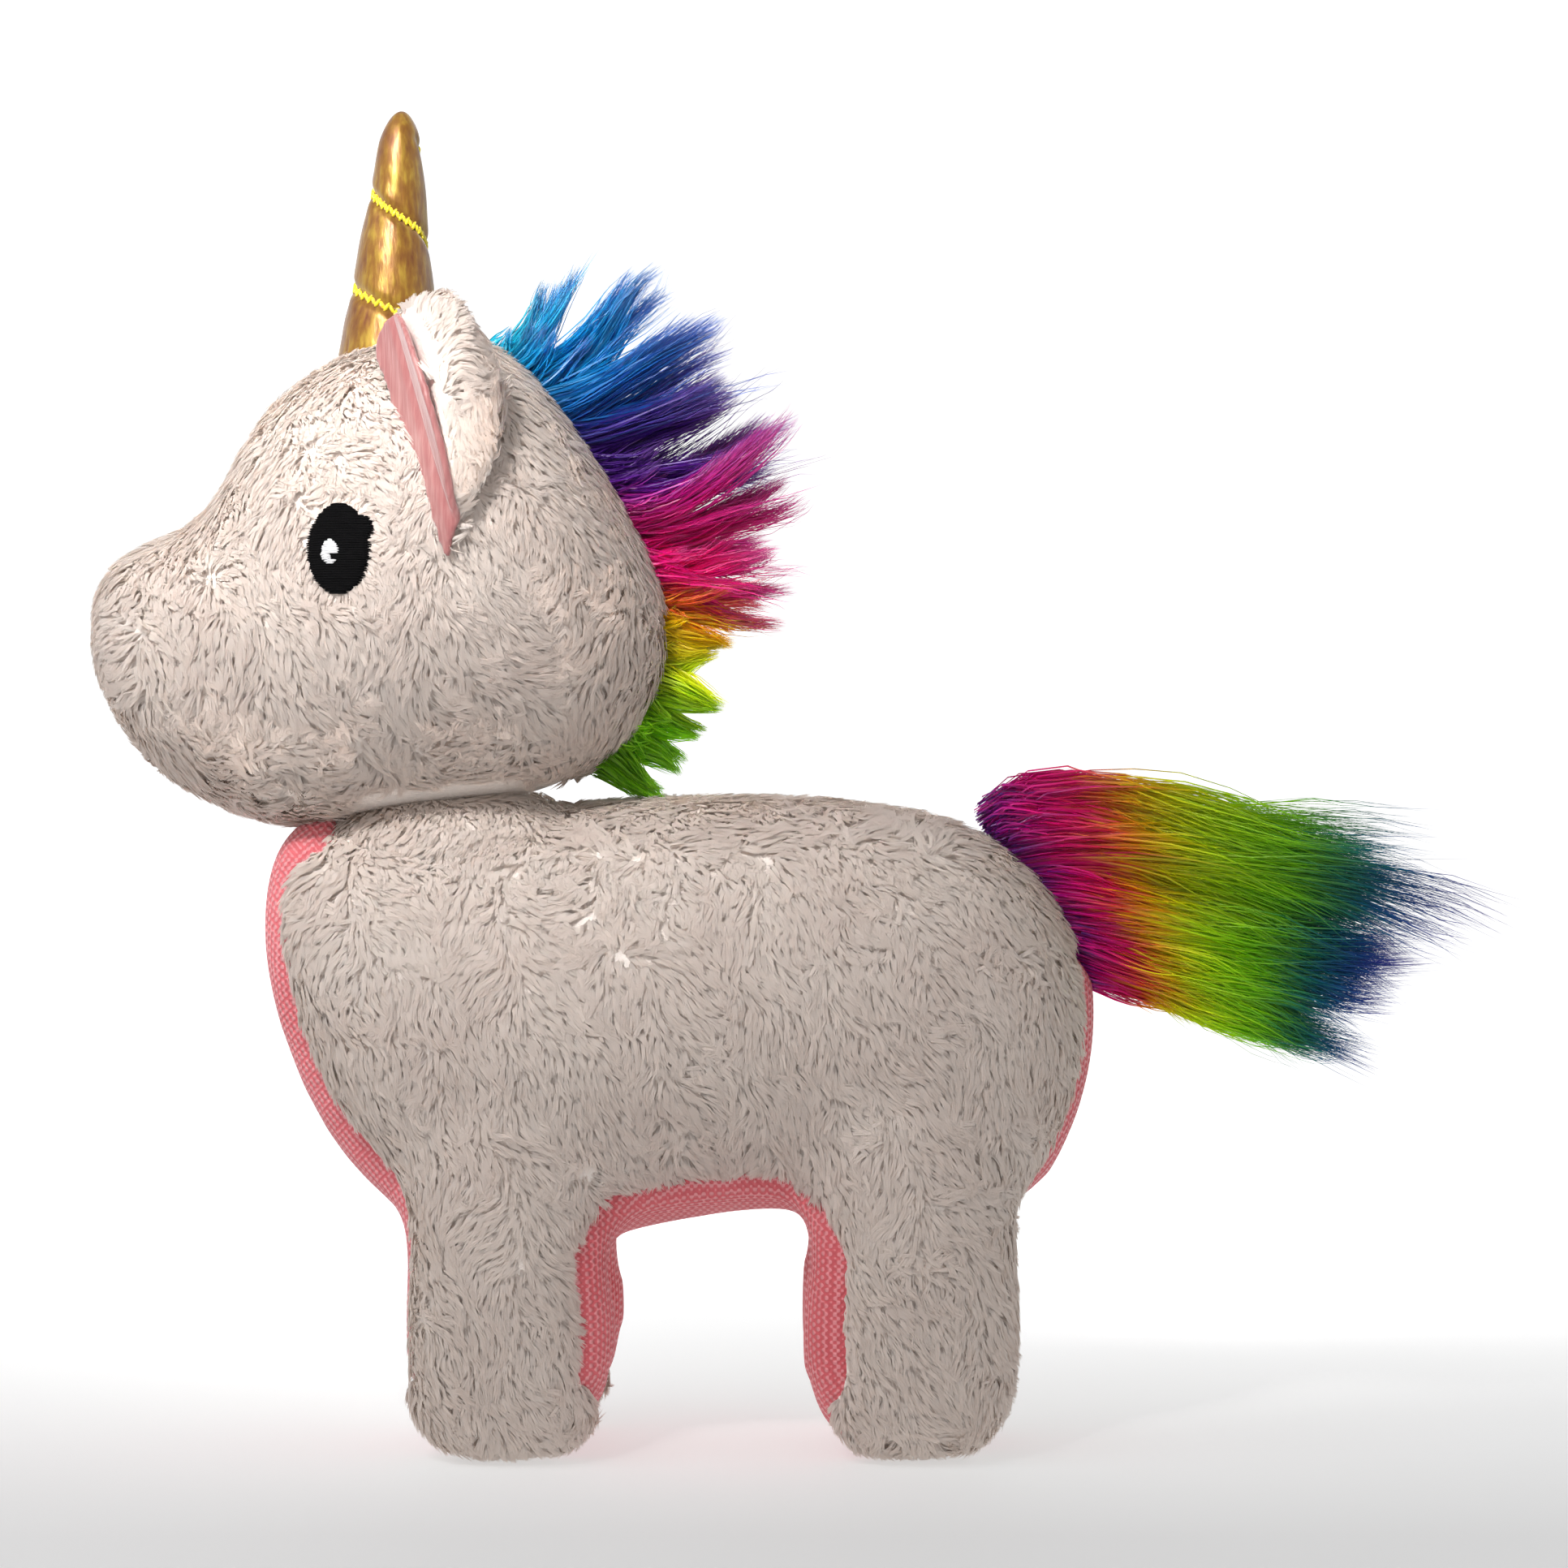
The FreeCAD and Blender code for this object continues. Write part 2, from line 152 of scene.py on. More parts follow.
class Shader:
    """A material's node tree, with short ways to add and join its nodes."""

    def __init__(self, name):
        self.material = bpy.data.materials.new(name)
        self.material.use_nodes = True
        self.tree = self.material.node_tree
        self.surface = self.tree.nodes["Principled BSDF"]
        self.output = self.tree.nodes["Material Output"]

    def add(self, kind, **inputs):
        node = self.tree.nodes.new(kind)
        for name, value in inputs.items():
            node.inputs[name.replace("_", " ")].default_value = value
        return node

    def set(self, name, value):
        self.surface.inputs[name].default_value = value

    def join(self, source, target):
        self.tree.links.new(source, target)

    def place(self):
        return self.add("ShaderNodeTexCoord").outputs["Object"]

    def noise(self, scale, detail=3.0, distortion=0.0):
        node = self.add("ShaderNodeTexNoise", Scale=scale, Detail=detail, Distortion=distortion)
        self.join(self.place(), node.inputs["Vector"])
        return node.outputs["Fac"]

    def math(self, operation, *values):
        node = self.tree.nodes.new("ShaderNodeMath")
        node.operation = operation
        for index, value in enumerate(values):
            if isinstance(value, (int, float)):
                node.inputs[index].default_value = value
            else:
                self.join(value, node.inputs[index])
        return node.outputs[0]

    def ramp(self, factor, *stops):
        node = self.tree.nodes.new("ShaderNodeValToRGB")
        elements = node.color_ramp.elements
        while len(elements) < len(stops):
            elements.new(0.5)
        for element, (position, colour) in zip(elements, stops):
            element.position = position
            element.color = (*colour, 1.0)
        self.join(factor, node.inputs["Fac"])
        return node.outputs["Color"]

    def bump(self, height, strength, distance):
        node = self.add("ShaderNodeBump", Strength=strength, Distance=distance)
        self.join(height, node.inputs["Height"])
        self.join(node.outputs["Normal"], self.surface.inputs["Normal"])
        return node

    def translucent(self, share, colour):
        """Mixes in light that comes through, as through thin fibres."""
        through = self.tree.nodes.new("ShaderNodeBsdfTranslucent")
        if isinstance(colour, tuple):
            through.inputs["Color"].default_value = (*colour, 1.0)
        else:
            self.join(colour, through.inputs["Color"])
        mix = self.add("ShaderNodeMixShader", Fac=share)
        self.join(self.surface.outputs[0], mix.inputs[1])
        self.join(through.outputs[0], mix.inputs[2])
        self.join(mix.outputs[0], self.output.inputs["Surface"])

    def stored_tint(self):
        """The colour kept on the mesh, joined to the surface."""
        tint = self.tree.nodes.new("ShaderNodeAttribute")
        tint.attribute_name = "tint"
        self.join(tint.outputs["Color"], self.surface.inputs["Base Color"])
        return tint.outputs["Color"]


def srgb(r, g, b):
    """Linear colour from 0 to 255 sRGB values."""
    c = np.array([r, g, b]) / 255.0
    linear = np.where(c <= 0.04045, c / 12.92, ((c + 0.055) / 1.055) ** 2.4)
    return tuple(float(v) for v in linear)


def plush_material():
    """White sherpa fibres: matt, a little sheen, and light comes through them."""
    m = Shader("white_plush_fibre")
    m.set("Base Color", (*srgb(249, 240, 233), 1.0))
    m.set("Sheen Weight", 0.2)
    m.set("Sheen Roughness", 0.4)
    m.set("Specular IOR Level", 0.25)
    rough = m.math("MULTIPLY_ADD", m.noise(900.0), 0.3, 0.45)
    m.join(rough, m.surface.inputs["Roughness"])
    patches = m.noise(60.0, 2.0)
    tint = m.ramp(patches, (0.3, srgb(240, 226, 216)), (0.7, srgb(250, 243, 237)))
    m.translucent(0.5, tint)
    return m.material


def plush_ground_material():
    """The knitted backing under the pile, seen only between the tufts."""
    m = Shader("plush_backing")
    loops = m.noise(1400.0, 2.0)
    m.set("Base Color", (*srgb(249, 240, 233), 1.0))
    m.set("Roughness", 0.9)
    m.bump(loops, 0.4, 0.0005)
    return m.material


def gusset_material():
    """Pink woven cloth with a lattice of small raised, lighter, glossy dots."""
    m = Shader("pink_woven_cloth")
    axes = m.add("ShaderNodeSeparateXYZ")
    m.join(m.place(), axes.inputs[0])
    turns = 2.0 * math.pi / 0.00145
    x, y, z = axes.outputs[:3]
    waves = [m.math("COSINE", m.math("MULTIPLY", both, turns))
             for both in (m.math("ADD", y, z), m.math("SUBTRACT", y, z), m.math("MULTIPLY", x, 1.4))]
    total = m.math("ADD", m.math("ADD", waves[0], waves[1]), waves[2])
    dots = m.math("MULTIPLY_ADD", total, 0.28, 0.42)
    broad = m.noise(45.0, 2.0)
    ground = m.ramp(broad, (0.3, srgb(208, 84, 92)), (0.7, srgb(224, 106, 114)))
    light = m.ramp(broad, (0.3, srgb(234, 142, 148)), (0.7, srgb(242, 162, 166)))
    mix = m.tree.nodes.new("ShaderNodeMix")
    mix.data_type = "RGBA"
    edge = m.add("ShaderNodeMapRange", From_Min=0.45, From_Max=0.75)
    m.join(dots, edge.inputs["Value"])
    m.join(edge.outputs[0], mix.inputs["Factor"])
    m.join(ground, mix.inputs["A"])
    m.join(light, mix.inputs["B"])
    m.join(mix.outputs["Result"], m.surface.inputs["Base Color"])
    rough = m.math("MULTIPLY_ADD", edge.outputs[0], -0.25, 0.68)
    m.join(rough, m.surface.inputs["Roughness"])
    m.set("Sheen Weight", 0.2)
    m.bump(dots, 0.7, 0.0005)
    return m.material


def satin_material(name, painted_shade_colour, mid, light, stretch, metal, roughness):
    """Satin: painted sheen and painted shade in its colour, as streaks along the threads and broad soft
    patches; the streaks also bump the surface.
    """
    m = Shader(name)
    mapping = m.tree.nodes.new("ShaderNodeMapping")
    mapping.inputs["Scale"].default_value = stretch
    m.join(m.place(), mapping.inputs["Vector"])
    streak = m.add("ShaderNodeTexNoise", Scale=1.0, Detail=4.0)
    m.join(mapping.outputs[0], streak.inputs["Vector"])
    broad = m.noise(140.0, 2.0)
    both = m.math("MULTIPLY_ADD", streak.outputs["Fac"], 0.65, m.math("MULTIPLY", broad, 0.35))
    # The ramp runs from painted shade through the satin's middle tone to painted sheen, following the streaks
    # and patches.
    colour = m.ramp(both, (0.32, painted_shade_colour), (0.5, mid), (0.66, light))
    m.join(colour, m.surface.inputs["Base Color"])
    m.set("Metallic", metal)
    m.set("Roughness", roughness)
    m.set("Sheen Weight", 0.3)
    m.bump(streak.outputs["Fac"], 0.35, 0.0004)
    return m.material


def thread_material(name, colour, roughness=0.5, sheen=0.3, specular=0.5):
    """Twisted thread: a fine slanted ripple along it."""
    m = Shader(name)
    m.set("Base Color", (*colour, 1.0))
    m.set("Roughness", roughness)
    m.set("Sheen Weight", sheen)
    m.set("Specular IOR Level", specular)
    m.bump(m.noise(4200.0, 1.0), 0.5, 0.0002)
    return m.material


def pile_material(name):
    """Long dyed fibres: each has its own colour along it, stored on the mesh."""
    m = Shader(name)
    tint = m.stored_tint()
    m.set("Roughness", 0.38)
    m.set("Specular IOR Level", 0.5)
    m.set("Sheen Weight", 0.15)
    m.translucent(0.4, tint)
    return m.material


def backing_material():
    """Dyed knitted cloth: rows of small loops."""
    m = Shader("dyed_pile_backing")
    m.stored_tint()
    m.set("Roughness", 0.9)
    m.bump(m.noise(1500.0), 0.6, 0.0004)
    return m.material


def floor_material():
    """Pale paper that glows a little, and more so in the middle of the screen behind the toy."""
    m = Shader("pale_floor")
    tone = m.ramp(m.noise(3.0), (0.4, (0.46, 0.46, 0.46)), (0.6, (0.49, 0.49, 0.49)))
    m.join(tone, m.surface.inputs["Base Color"])
    m.set("Roughness", 0.8)
    axes = m.add("ShaderNodeSeparateXYZ")
    m.join(m.place(), axes.inputs[0])
    far = m.add("ShaderNodeMapRange", From_Min=0.1, From_Max=-0.3)
    m.join(axes.outputs[0], far.inputs["Value"])
    near_middle = m.add("ShaderNodeMapRange", From_Min=0.9, From_Max=0.5)
    m.join(m.math("ABSOLUTE", axes.outputs[1]), near_middle.inputs["Value"])
    glow = m.math("MULTIPLY_ADD", m.math("MULTIPLY", far.outputs[0], near_middle.outputs[0]), 0.45, 0.4)
    m.set("Emission Color", (1.0, 1.0, 1.0, 1.0))
    m.join(glow, m.surface.inputs["Emission Strength"])
    return m.material


# Mesh helpers


def new_object(name, vertices_mm, faces, material):
    """Faces: an array of index rows, or a list of such arrays of different widths."""
    blocks = faces if isinstance(faces, list) else [faces]
    mesh = bpy.data.meshes.new(name)
    vertices = np.asarray(vertices_mm, np.float64) * MM
    mesh.vertices.add(len(vertices))
    mesh.vertices.foreach_set("co", vertices.astype(np.float32).ravel())
    sizes = np.concatenate([np.full(len(b), b.shape[1]) for b in blocks])
    corners = np.concatenate([b.ravel() for b in blocks]).astype(np.int32)
    mesh.loops.add(len(corners))
    mesh.loops.foreach_set("vertex_index", corners)
    mesh.polygons.add(len(sizes))
    starts = np.concatenate([[0], np.cumsum(sizes)[:-1]]).astype(np.int32)
    mesh.polygons.foreach_set("loop_start", starts)
    mesh.update(calc_edges=True)
    mesh.polygons.foreach_set("use_smooth", np.ones(len(sizes), bool))
    mesh.materials.append(material)
    obj = bpy.data.objects.new(name, mesh)
    bpy.context.scene.collection.objects.link(obj)
    return obj


def read(items, field, width=1, kind=np.int32):
    """One field of a mesh's vertices, edges, corners or faces, as an array."""
    values = np.empty(len(items) * width, kind)
    items.foreach_get(field, values)
    return values.reshape(-1, width) if width > 1 else values


def unit(vectors):
    return vectors / np.maximum(np.linalg.norm(vectors, axis=-1, keepdims=True), SMALL)


def smooth_rows(rows, steps):
    """More rows on a Catmull-Rom curve through the given ones."""
    padded = np.vstack([2 * rows[0] - rows[1], rows, 2 * rows[-1] - rows[-2]])
    out = []
    for i in range(1, len(padded) - 2):
        a, b, c, d = padded[i - 1:i + 3]
        for t in np.arange(steps) / steps:
            out.append(0.5 * (2 * b + (c - a) * t + (2 * a - 5 * b + 4 * c - d) * t ** 2
                              + (3 * b - a - 3 * c + d) * t ** 3))
    out.append(rows[-1])
    return np.array(out)


def section(count=40):
    angle = 2 * np.pi * np.arange(count) / count
    c, s = np.cos(angle), np.sin(angle)
    power = 2 / FULLNESS
    return np.sign(c) * np.abs(c) ** power, np.sign(s) * np.abs(s) ** power


def capped_rings(rings):
    """Vertices and faces of a closed tube through rings (n, k, 3)."""
    n, k, _ = rings.shape
    vertices = np.vstack([rings.reshape(-1, 3), rings[0].mean(0), rings[-1].mean(0)])
    i, j = np.meshgrid(np.arange(n - 1), np.arange(k), indexing="ij")
    nxt = (j + 1) % k
    quads = np.stack([i * k + j, i * k + nxt, (i + 1) * k + nxt, (i + 1) * k + j], -1).reshape(-1, 4)
    ring = np.arange(k)
    after = (ring + 1) % k
    first = np.stack([after, ring, np.full(k, n * k)], -1)
    last = np.stack([(n - 1) * k + ring, (n - 1) * k + after, np.full(k, n * k + 1)], -1)
    return vertices, [quads, np.vstack([first, last])]


def sheet_quads(rows):
    """Faces of an open sheet through rows of points (n, k, 3)."""
    n, k = rows.shape[:2]
    i, j = np.meshgrid(np.arange(n - 1), np.arange(k - 1), indexing="ij")
    low = (i * k + j).ravel()
    return np.stack([low, low + 1, low + k + 1, low + k], -1)


def long_loft(rows, inset):
    """A loft along Y from (y, low, high, half width) rows."""
    rows = smooth_rows(rows, 5)
    a, b = section()
    rings = []
    for index, (y, low, high, half) in enumerate(rows):
        y = y + inset * (1.0 if index == 0 else -1.0 if index == len(rows) - 1 else 0.0)
        half_z = max((high - low) / 2 - inset, 1.0)
        half_x = max(half - inset, 1.0)
        ring = np.stack([a * half_x, np.full_like(a, y), (low + high) / 2 + b * half_z], -1)
        rings.append(ring)
    return capped_rings(np.array(rings)[:, ::-1])


def leg_loft(x, y, inset):
    rows = smooth_rows(LEG_ROWS, 5)
    a, b = section()
    rings = []
    for z, half_y, half_x in rows:
        z = max(z, LEG_FLOOR)
        ring = np.stack([x + a * (half_x - inset), y + b * (half_y - inset), np.full_like(a, z)], -1)
        rings.append(ring)
    return capped_rings(np.array(rings))


def mesh_arrays(obj):
    """Vertices in millimetres, triangles, and vertex normals."""
    mesh = obj.data
    mesh.calc_loop_triangles()
    points = read(mesh.vertices, "co", 3, np.float32).astype(float) / MM
    normals = read(mesh.vertices, "normal", 3, np.float32).astype(float)
    return points, read(mesh.loop_triangles, "vertices", 3), normals


def set_points(obj, points_mm):
    obj.data.vertices.foreach_set("co", (points_mm * MM).astype(np.float32).ravel())
    obj.data.update()


def relax(obj, rounds, share=0.5):
    """Laplacian smoothing, which rounds creases."""
    a, b = read(obj.data.edges, "vertices", 2).T
    points = mesh_arrays(obj)[0]
    degree = np.bincount(np.append(a, b), minlength=len(points))[:, None]
    for _ in range(rounds):
        total = np.zeros_like(points)
        for axis in range(3):
            total[:, axis] += np.bincount(a, points[b, axis], len(points))
            total[:, axis] += np.bincount(b, points[a, axis], len(points))
        points += share * (total / np.maximum(degree, 1) - points)
    set_points(obj, points)


def evaluated(obj):
    """Puts the result of the object's modifiers into its mesh, and removes them."""
    graph = bpy.context.evaluated_depsgraph_get()
    mesh = bpy.data.meshes.new_from_object(obj.evaluated_get(graph))
    obj.modifiers.clear()
    old = obj.data
    obj.data = mesh
    mesh.name = obj.name
    bpy.data.meshes.remove(old)
    mesh.polygons.foreach_set("use_smooth", np.ones(len(mesh.polygons), bool))


def remesh(obj, voxel_mm):
    modifier = obj.modifiers.new("remesh", "REMESH")
    modifier.mode = "VOXEL"
    modifier.voxel_size = voxel_mm * MM
    evaluated(obj)


def subdivide(obj, levels):
    modifier = obj.modifiers.new("subdivide", "SUBSURF")
    modifier.levels = levels
    modifier.render_levels = levels
    evaluated(obj)


def inflate(obj, cap_mm, frames=20, pressure=4.0):
    """Cloth filled by pressure, as stuffing fills a cover. No point moves more than cap_mm."""
    before = mesh_arrays(obj)[0]
    cloth = obj.modifiers.new("cloth", "CLOTH")
    cloth.settings.use_pressure = True
    cloth.settings.uniform_pressure_force = pressure
    cloth.settings.effector_weights.gravity = 0.0
    scene = bpy.context.scene
    for number in range(1, frames + 1):
        scene.frame_set(number)
    graph = bpy.context.evaluated_depsgraph_get()
    moved = obj.evaluated_get(graph).data
    step = read(moved.vertices, "co", 3, np.float32).astype(float) / MM - before
    length = np.linalg.norm(step, axis=1, keepdims=True)
    step *= np.minimum(1.0, cap_mm / np.maximum(length, SMALL))
    obj.modifiers.clear()
    scene.frame_set(1)
    set_points(obj, before + np.nan_to_num(step))


def joined(name, shapes, material):
    vertices, quads, triangles, shift = [], [], [], 0
    for points, (four, three) in shapes:
        vertices.append(points)
        quads.append(four + shift)
        triangles.append(three + shift)
        shift += len(points)
    return new_object(name, np.vstack(vertices), [np.vstack(quads), np.vstack(triangles)], material)


def swell(points, wavelength, seed):
    """Smooth noise from about -1 to 1 at each point, as three numbers."""
    rng = np.random.default_rng(seed)
    total = np.zeros_like(points)
    for _ in range(5):
        ways = rng.normal(size=(3, 3))
        ways = unit(ways) * 2 * np.pi / (wavelength * rng.uniform(0.7, 1.5))
        total += np.sin(points @ ways.T + rng.uniform(0, 2 * np.pi, 3))
    return total / 2.2


# Skins: the stuffed shapes under the pile

PLUSH = plush_material()
PLUSH_GROUND = plush_ground_material()
GUSSET = gusset_material()
# Each satin's three colours are painted shade, its middle tone and painted sheen.
EAR_SATIN = satin_material("ear_pink_satin", srgb(150, 84, 84), srgb(164, 106, 104), srgb(182, 134, 130),
                           (1500.0, 1500.0, 120.0), 0.0, 0.42)
HORN_SATIN = satin_material("horn_gold_satin", srgb(104, 52, 8), srgb(132, 90, 18), srgb(164, 132, 40),
                            (900.0, 900.0, 260.0), 0.35, 0.34)
HORN_THREAD = thread_material("horn_yellow_thread", srgb(232, 210, 20), 0.4)
EYE_BLACK = thread_material("eye_black_thread", srgb(2, 2, 3), 0.8, 0.0, 0.12)
EYE_WHITE = thread_material("eye_white_thread", srgb(214, 214, 216), 0.5)
PILE = pile_material("rainbow_pile_fibre")
PILE_BACKING = backing_material()

VOXEL = 4.0
SOLE_Z = 0.8
BELLY_HALF = 20.0
CHEST_HALF = 18.0
CHEST_TOP_HALF = 14.0
RUMP_HALF = 9.0
GUSSET_TOP_Z = 80.0
GUSSET_CHEST_Y = -84.0
GUSSET_RUMP_TOP_Z = 93.0
SEAM_TUCK = 0.8
GUSSET_FULL = 2.2
LEG_BEND_START = 50.0

LEG_NAMES = {
    "front_left": (LEG_X, FRONT_LEG_Y), "front_right": (-LEG_X, FRONT_LEG_Y),
    "hind_left": (LEG_X, HIND_LEG_Y), "hind_right": (-LEG_X, HIND_LEG_Y),
}
# Seam of each leg: (offset outwards from its axis, turn in degrees)
LEG_SEAMS = {"front": (7.0, -12.0), "hind": (1.0, 35.0)}


def smoothstep(value, low, high):
    t = np.clip((value - low) / (high - low), 0.0, 1.0)
    return t * t * (3 - 2 * t)


def seam_distance(points):
    """Millimetres from the seam between plush and gusset: above 0 is plush, below is gusset."""
    x, y, z = np.abs(points[:, 0]), points[:, 1], points[:, 2]
    front = y < (FRONT_LEG_Y + HIND_LEG_Y) / 2
    middle = np.where(front, FRONT_LEG_Y, HIND_LEG_Y)
    offset = np.where(front, LEG_SEAMS["front"][0], LEG_SEAMS["hind"][0])
    turn = np.radians(np.where(front, LEG_SEAMS["front"][1], LEG_SEAMS["hind"][1]))
    offset = offset - (offset + 5.0) * (1.0 - smoothstep(z, 7.0, 17.0))
    leg = (x - LEG_X) * np.cos(turn) + (y - middle) * np.sin(turn) - offset
    chest = CHEST_HALF + (CHEST_TOP_HALF - CHEST_HALF) * smoothstep(z, 84.0, 112.0)
    half = BELLY_HALF + (chest - BELLY_HALF) * smoothstep(-y, 60.0, 84.0)
    half = half + (RUMP_HALF - BELLY_HALF) * smoothstep(y, 30.0, 48.0)
    side = x - half
    top = np.where(y > HIND_LEG_Y, GUSSET_RUMP_TOP_Z, np.where(y < GUSSET_CHEST_Y, 300.0, GUSSET_TOP_Z))
    torso = np.maximum(side, z - top)
    return leg + (torso - leg) * smoothstep(z, 38.0, 56.0)


def stuffed_skin(name, shapes, rounds):
    """One even skin over overlapping shapes, filled by pressure and softened."""
    skin = joined(name, shapes, PLUSH_GROUND)
    remesh(skin, VOXEL)
    relax(skin, rounds)
    inflate(skin, 1.6)
    relax(skin, 2)
    subdivide(skin, 1)
    relax(skin, 2)
    return skin


def make_body_skin():
    shapes = [long_loft(TORSO_ROWS, PILE_DEPTH)]
    shapes += [leg_loft(x, y, PILE_DEPTH) for x, y in LEG_NAMES.values()]
    skin = stuffed_skin("body_skin", shapes, 3)
    points = mesh_arrays(skin)[0]
    points[:, 2] = np.maximum(points[:, 2], SOLE_Z)
    set_points(skin, points)
    return skin


def snap_to_seam(obj):
    """Moves the nearest vertices onto the seam line, so that the panels part on a clean edge."""
    points = mesh_arrays(obj)[0]
    s = seam_distance(points)
    a, b = read(obj.data.edges, "vertices", 2).T
    crossing = s[a] * s[b] < 0
    a, b = a[crossing], b[crossing]
    t = s[a] / (s[a] - s[b])
    place = points[a] + (points[b] - points[a]) * t[:, None]
    near = np.where(t < 0.5, a, b)
    moved = points.copy()
    moved[near] = place
    set_points(obj, moved)


def part_of(obj, name, keep, material):
    """A new object of those faces of obj whose centre has keep above 0."""
    mesh = obj.data
    points = mesh_arrays(obj)[0]
    total = read(mesh.polygons, "loop_total")
    start = read(mesh.polygons, "loop_start")
    corners = read(mesh.loops, "vertex_index")
    blocks, used = [], np.zeros(len(points), bool)
    for width in np.unique(total):
        first = start[total == width]
        block = corners[first[:, None] + np.arange(width)]
        block = block[keep(points[block].mean(1)) > 0]
        used[block.ravel()] = True
        if len(block):
            blocks.append(block)
    index = np.cumsum(used) - 1
    return new_object(name, points[used], [index[b] for b in blocks], material)


# Pile: short tufts of the white plush

TUFT_CELL = 0.95
FIBRES = 8
FIBRE_STEPS = np.array([0.0, 0.5, 1.0])
FIBRE_WIDTH = np.array([0.12, 0.14, 0.0])
FIBRE_ROOT_DEPTH = 0.25
FIBRE_LOWEST_Z = 0.25
TUFT_LENGTH = 4.3
SHORT_TUFT_LENGTH = 3.6  # on the ears and in the fold of the neck
TUFTS_IN_PIECE = 8000


def scatter(skin, seed):
    """About one point in every cell of a grid, over the surface, with its normal."""
    points, triangles, normals = mesh_arrays(skin)
    rng = np.random.default_rng(seed)
    a, b, c = (points[triangles[:, i]] for i in range(3))
    area = np.linalg.norm(np.cross(b - a, c - a), axis=1) / 2
    count = int(area.sum() / TUFT_CELL ** 2 * 3.0)
    pick = rng.choice(len(area), count, p=area / area.sum())
    u, v = rng.random(count), rng.random(count)
    over = u + v > 1
    u[over], v[over] = 1 - u[over], 1 - v[over]
    w = 1 - u - v
    corner = triangles[pick]
    share = np.stack([w, u, v], -1)[..., None]
    place = (points[corner] * share).sum(1)
    way = (normals[corner] * share).sum(1)
    cells = np.floor(place / TUFT_CELL).astype(np.int64)
    key = (cells[:, 0] * 73856093) ^ (cells[:, 1] * 19349663) ^ (cells[:, 2] * 83492791)
    first = np.unique(key, return_index=True)[1]
    first = rng.permutation(first)
    return place[first], unit(way[first])


def store_tint(obj, colours):
    """Keeps a colour for each vertex, which the pile's materials read."""
    colours = np.hstack([colours, np.ones((len(colours), 1))]).astype(np.float32)
    layer = obj.data.color_attributes.new("tint", "FLOAT_COLOR", "POINT")
    layer.data.foreach_set("color", colours.ravel())


def ribbon_mesh(name, centre, half, material, normals=None, tint=None):
    """Flat fibres: centre and half width at each step, (n, k, 3). The last step is a point."""
    n, k, _ = centre.shape
    left, right = centre[:, :-1] - half[:, :-1], centre[:, :-1] + half[:, :-1]
    sides = np.stack([left, right], 2).reshape(n, -1, 3)
    vertices = np.concatenate([sides, centre[:, -1:]], 1).reshape(-1, 3)
    per = 2 * (k - 1) + 1
    base = (np.arange(n) * per)[:, None]
    step = np.arange(k - 2)[None, :] * 2
    low = (base + step).ravel()
    quads = np.stack([low, low + 1, low + 3, low + 2], -1)
    end = (base + 2 * (k - 2)).ravel()
    tips = np.stack([end, end + 1, end + 2], -1)
    obj = new_object(name, vertices, [quads, tips], material)
    if tint is not None:
        colour = np.repeat(tint[:, :-1], 2, axis=1)
        colour = np.concatenate([colour, tint[:, -1:]], 1).reshape(-1, 3)
        store_tint(obj, colour)
    if normals is not None:
        bent = np.repeat(normals[:, None, :], per, axis=1).reshape(-1, 3)
        obj.data.normals_split_custom_set_from_vertices(bent.astype(np.float32))
    return obj


def plush_tufts(place, normal, flow, length, rng):
    """Centre lines, half widths and shading normals of the fibres of tufts at these places."""
    n = len(place)
    curl = swell(place, 15.0, 5) * 0.34 + swell(place, 5.0, 6) * 0.3 + rng.normal(size=(n, 3)) * 0.09
    way = flow * 0.8 + curl
    way = unit(way - normal * (way * normal).sum(1, keepdims=True))
    size = (length * rng.uniform(0.85, 1.12, n))[:, None, None]
    rise = rng.uniform(0.76, 0.92, n)[:, None]
    side = np.cross(normal, way)
    spin = rng.uniform(0, 2 * np.pi, (n, FIBRES))
    spread = rng.uniform(0.1, 0.8, (n, FIBRES))
    ahead, aside = (np.cos(spin) * spread)[..., None], (np.sin(spin) * spread)[..., None]
    start = way[:, None] * ahead + side[:, None] * aside
    hook = rng.normal(0, 0.24, (n, 1)) * np.ones((1, FIBRES)) + rng.normal(0, 0.14, (n, FIBRES))
    lines = []
    for t in FIBRE_STEPS:
        up = normal * rise * (t - 0.52 * t * t)
        along = way * (0.28 * t + 0.62 * t * t)
        sway = side[:, None] * (hook * t * t)[..., None] * 0.5
        line = place[:, None] + start * (1 - 0.72 * t) + (up + along)[:, None] * size + sway * size
        lines.append(line - normal[:, None] * FIBRE_ROOT_DEPTH)
    centre = np.stack(lines, 2)
    heading = unit(centre[:, :, -1] - centre[:, :, 0])
    turn = rng.uniform(-0.6, 0.6, (n, FIBRES))[..., None]
    across = unit(np.cross(heading, normal[:, None])) * np.cos(turn) + normal[:, None] * np.sin(turn)
    half = across[:, :, None] * FIBRE_WIDTH[:, None]
    shade = unit(normal + way * 0.16 + rng.normal(0, 0.08, (n, 3)))
    steps = len(FIBRE_STEPS)
    return centre.reshape(-1, steps, 3), half.reshape(-1, steps, 3), np.repeat(shade, FIBRES, axis=0)


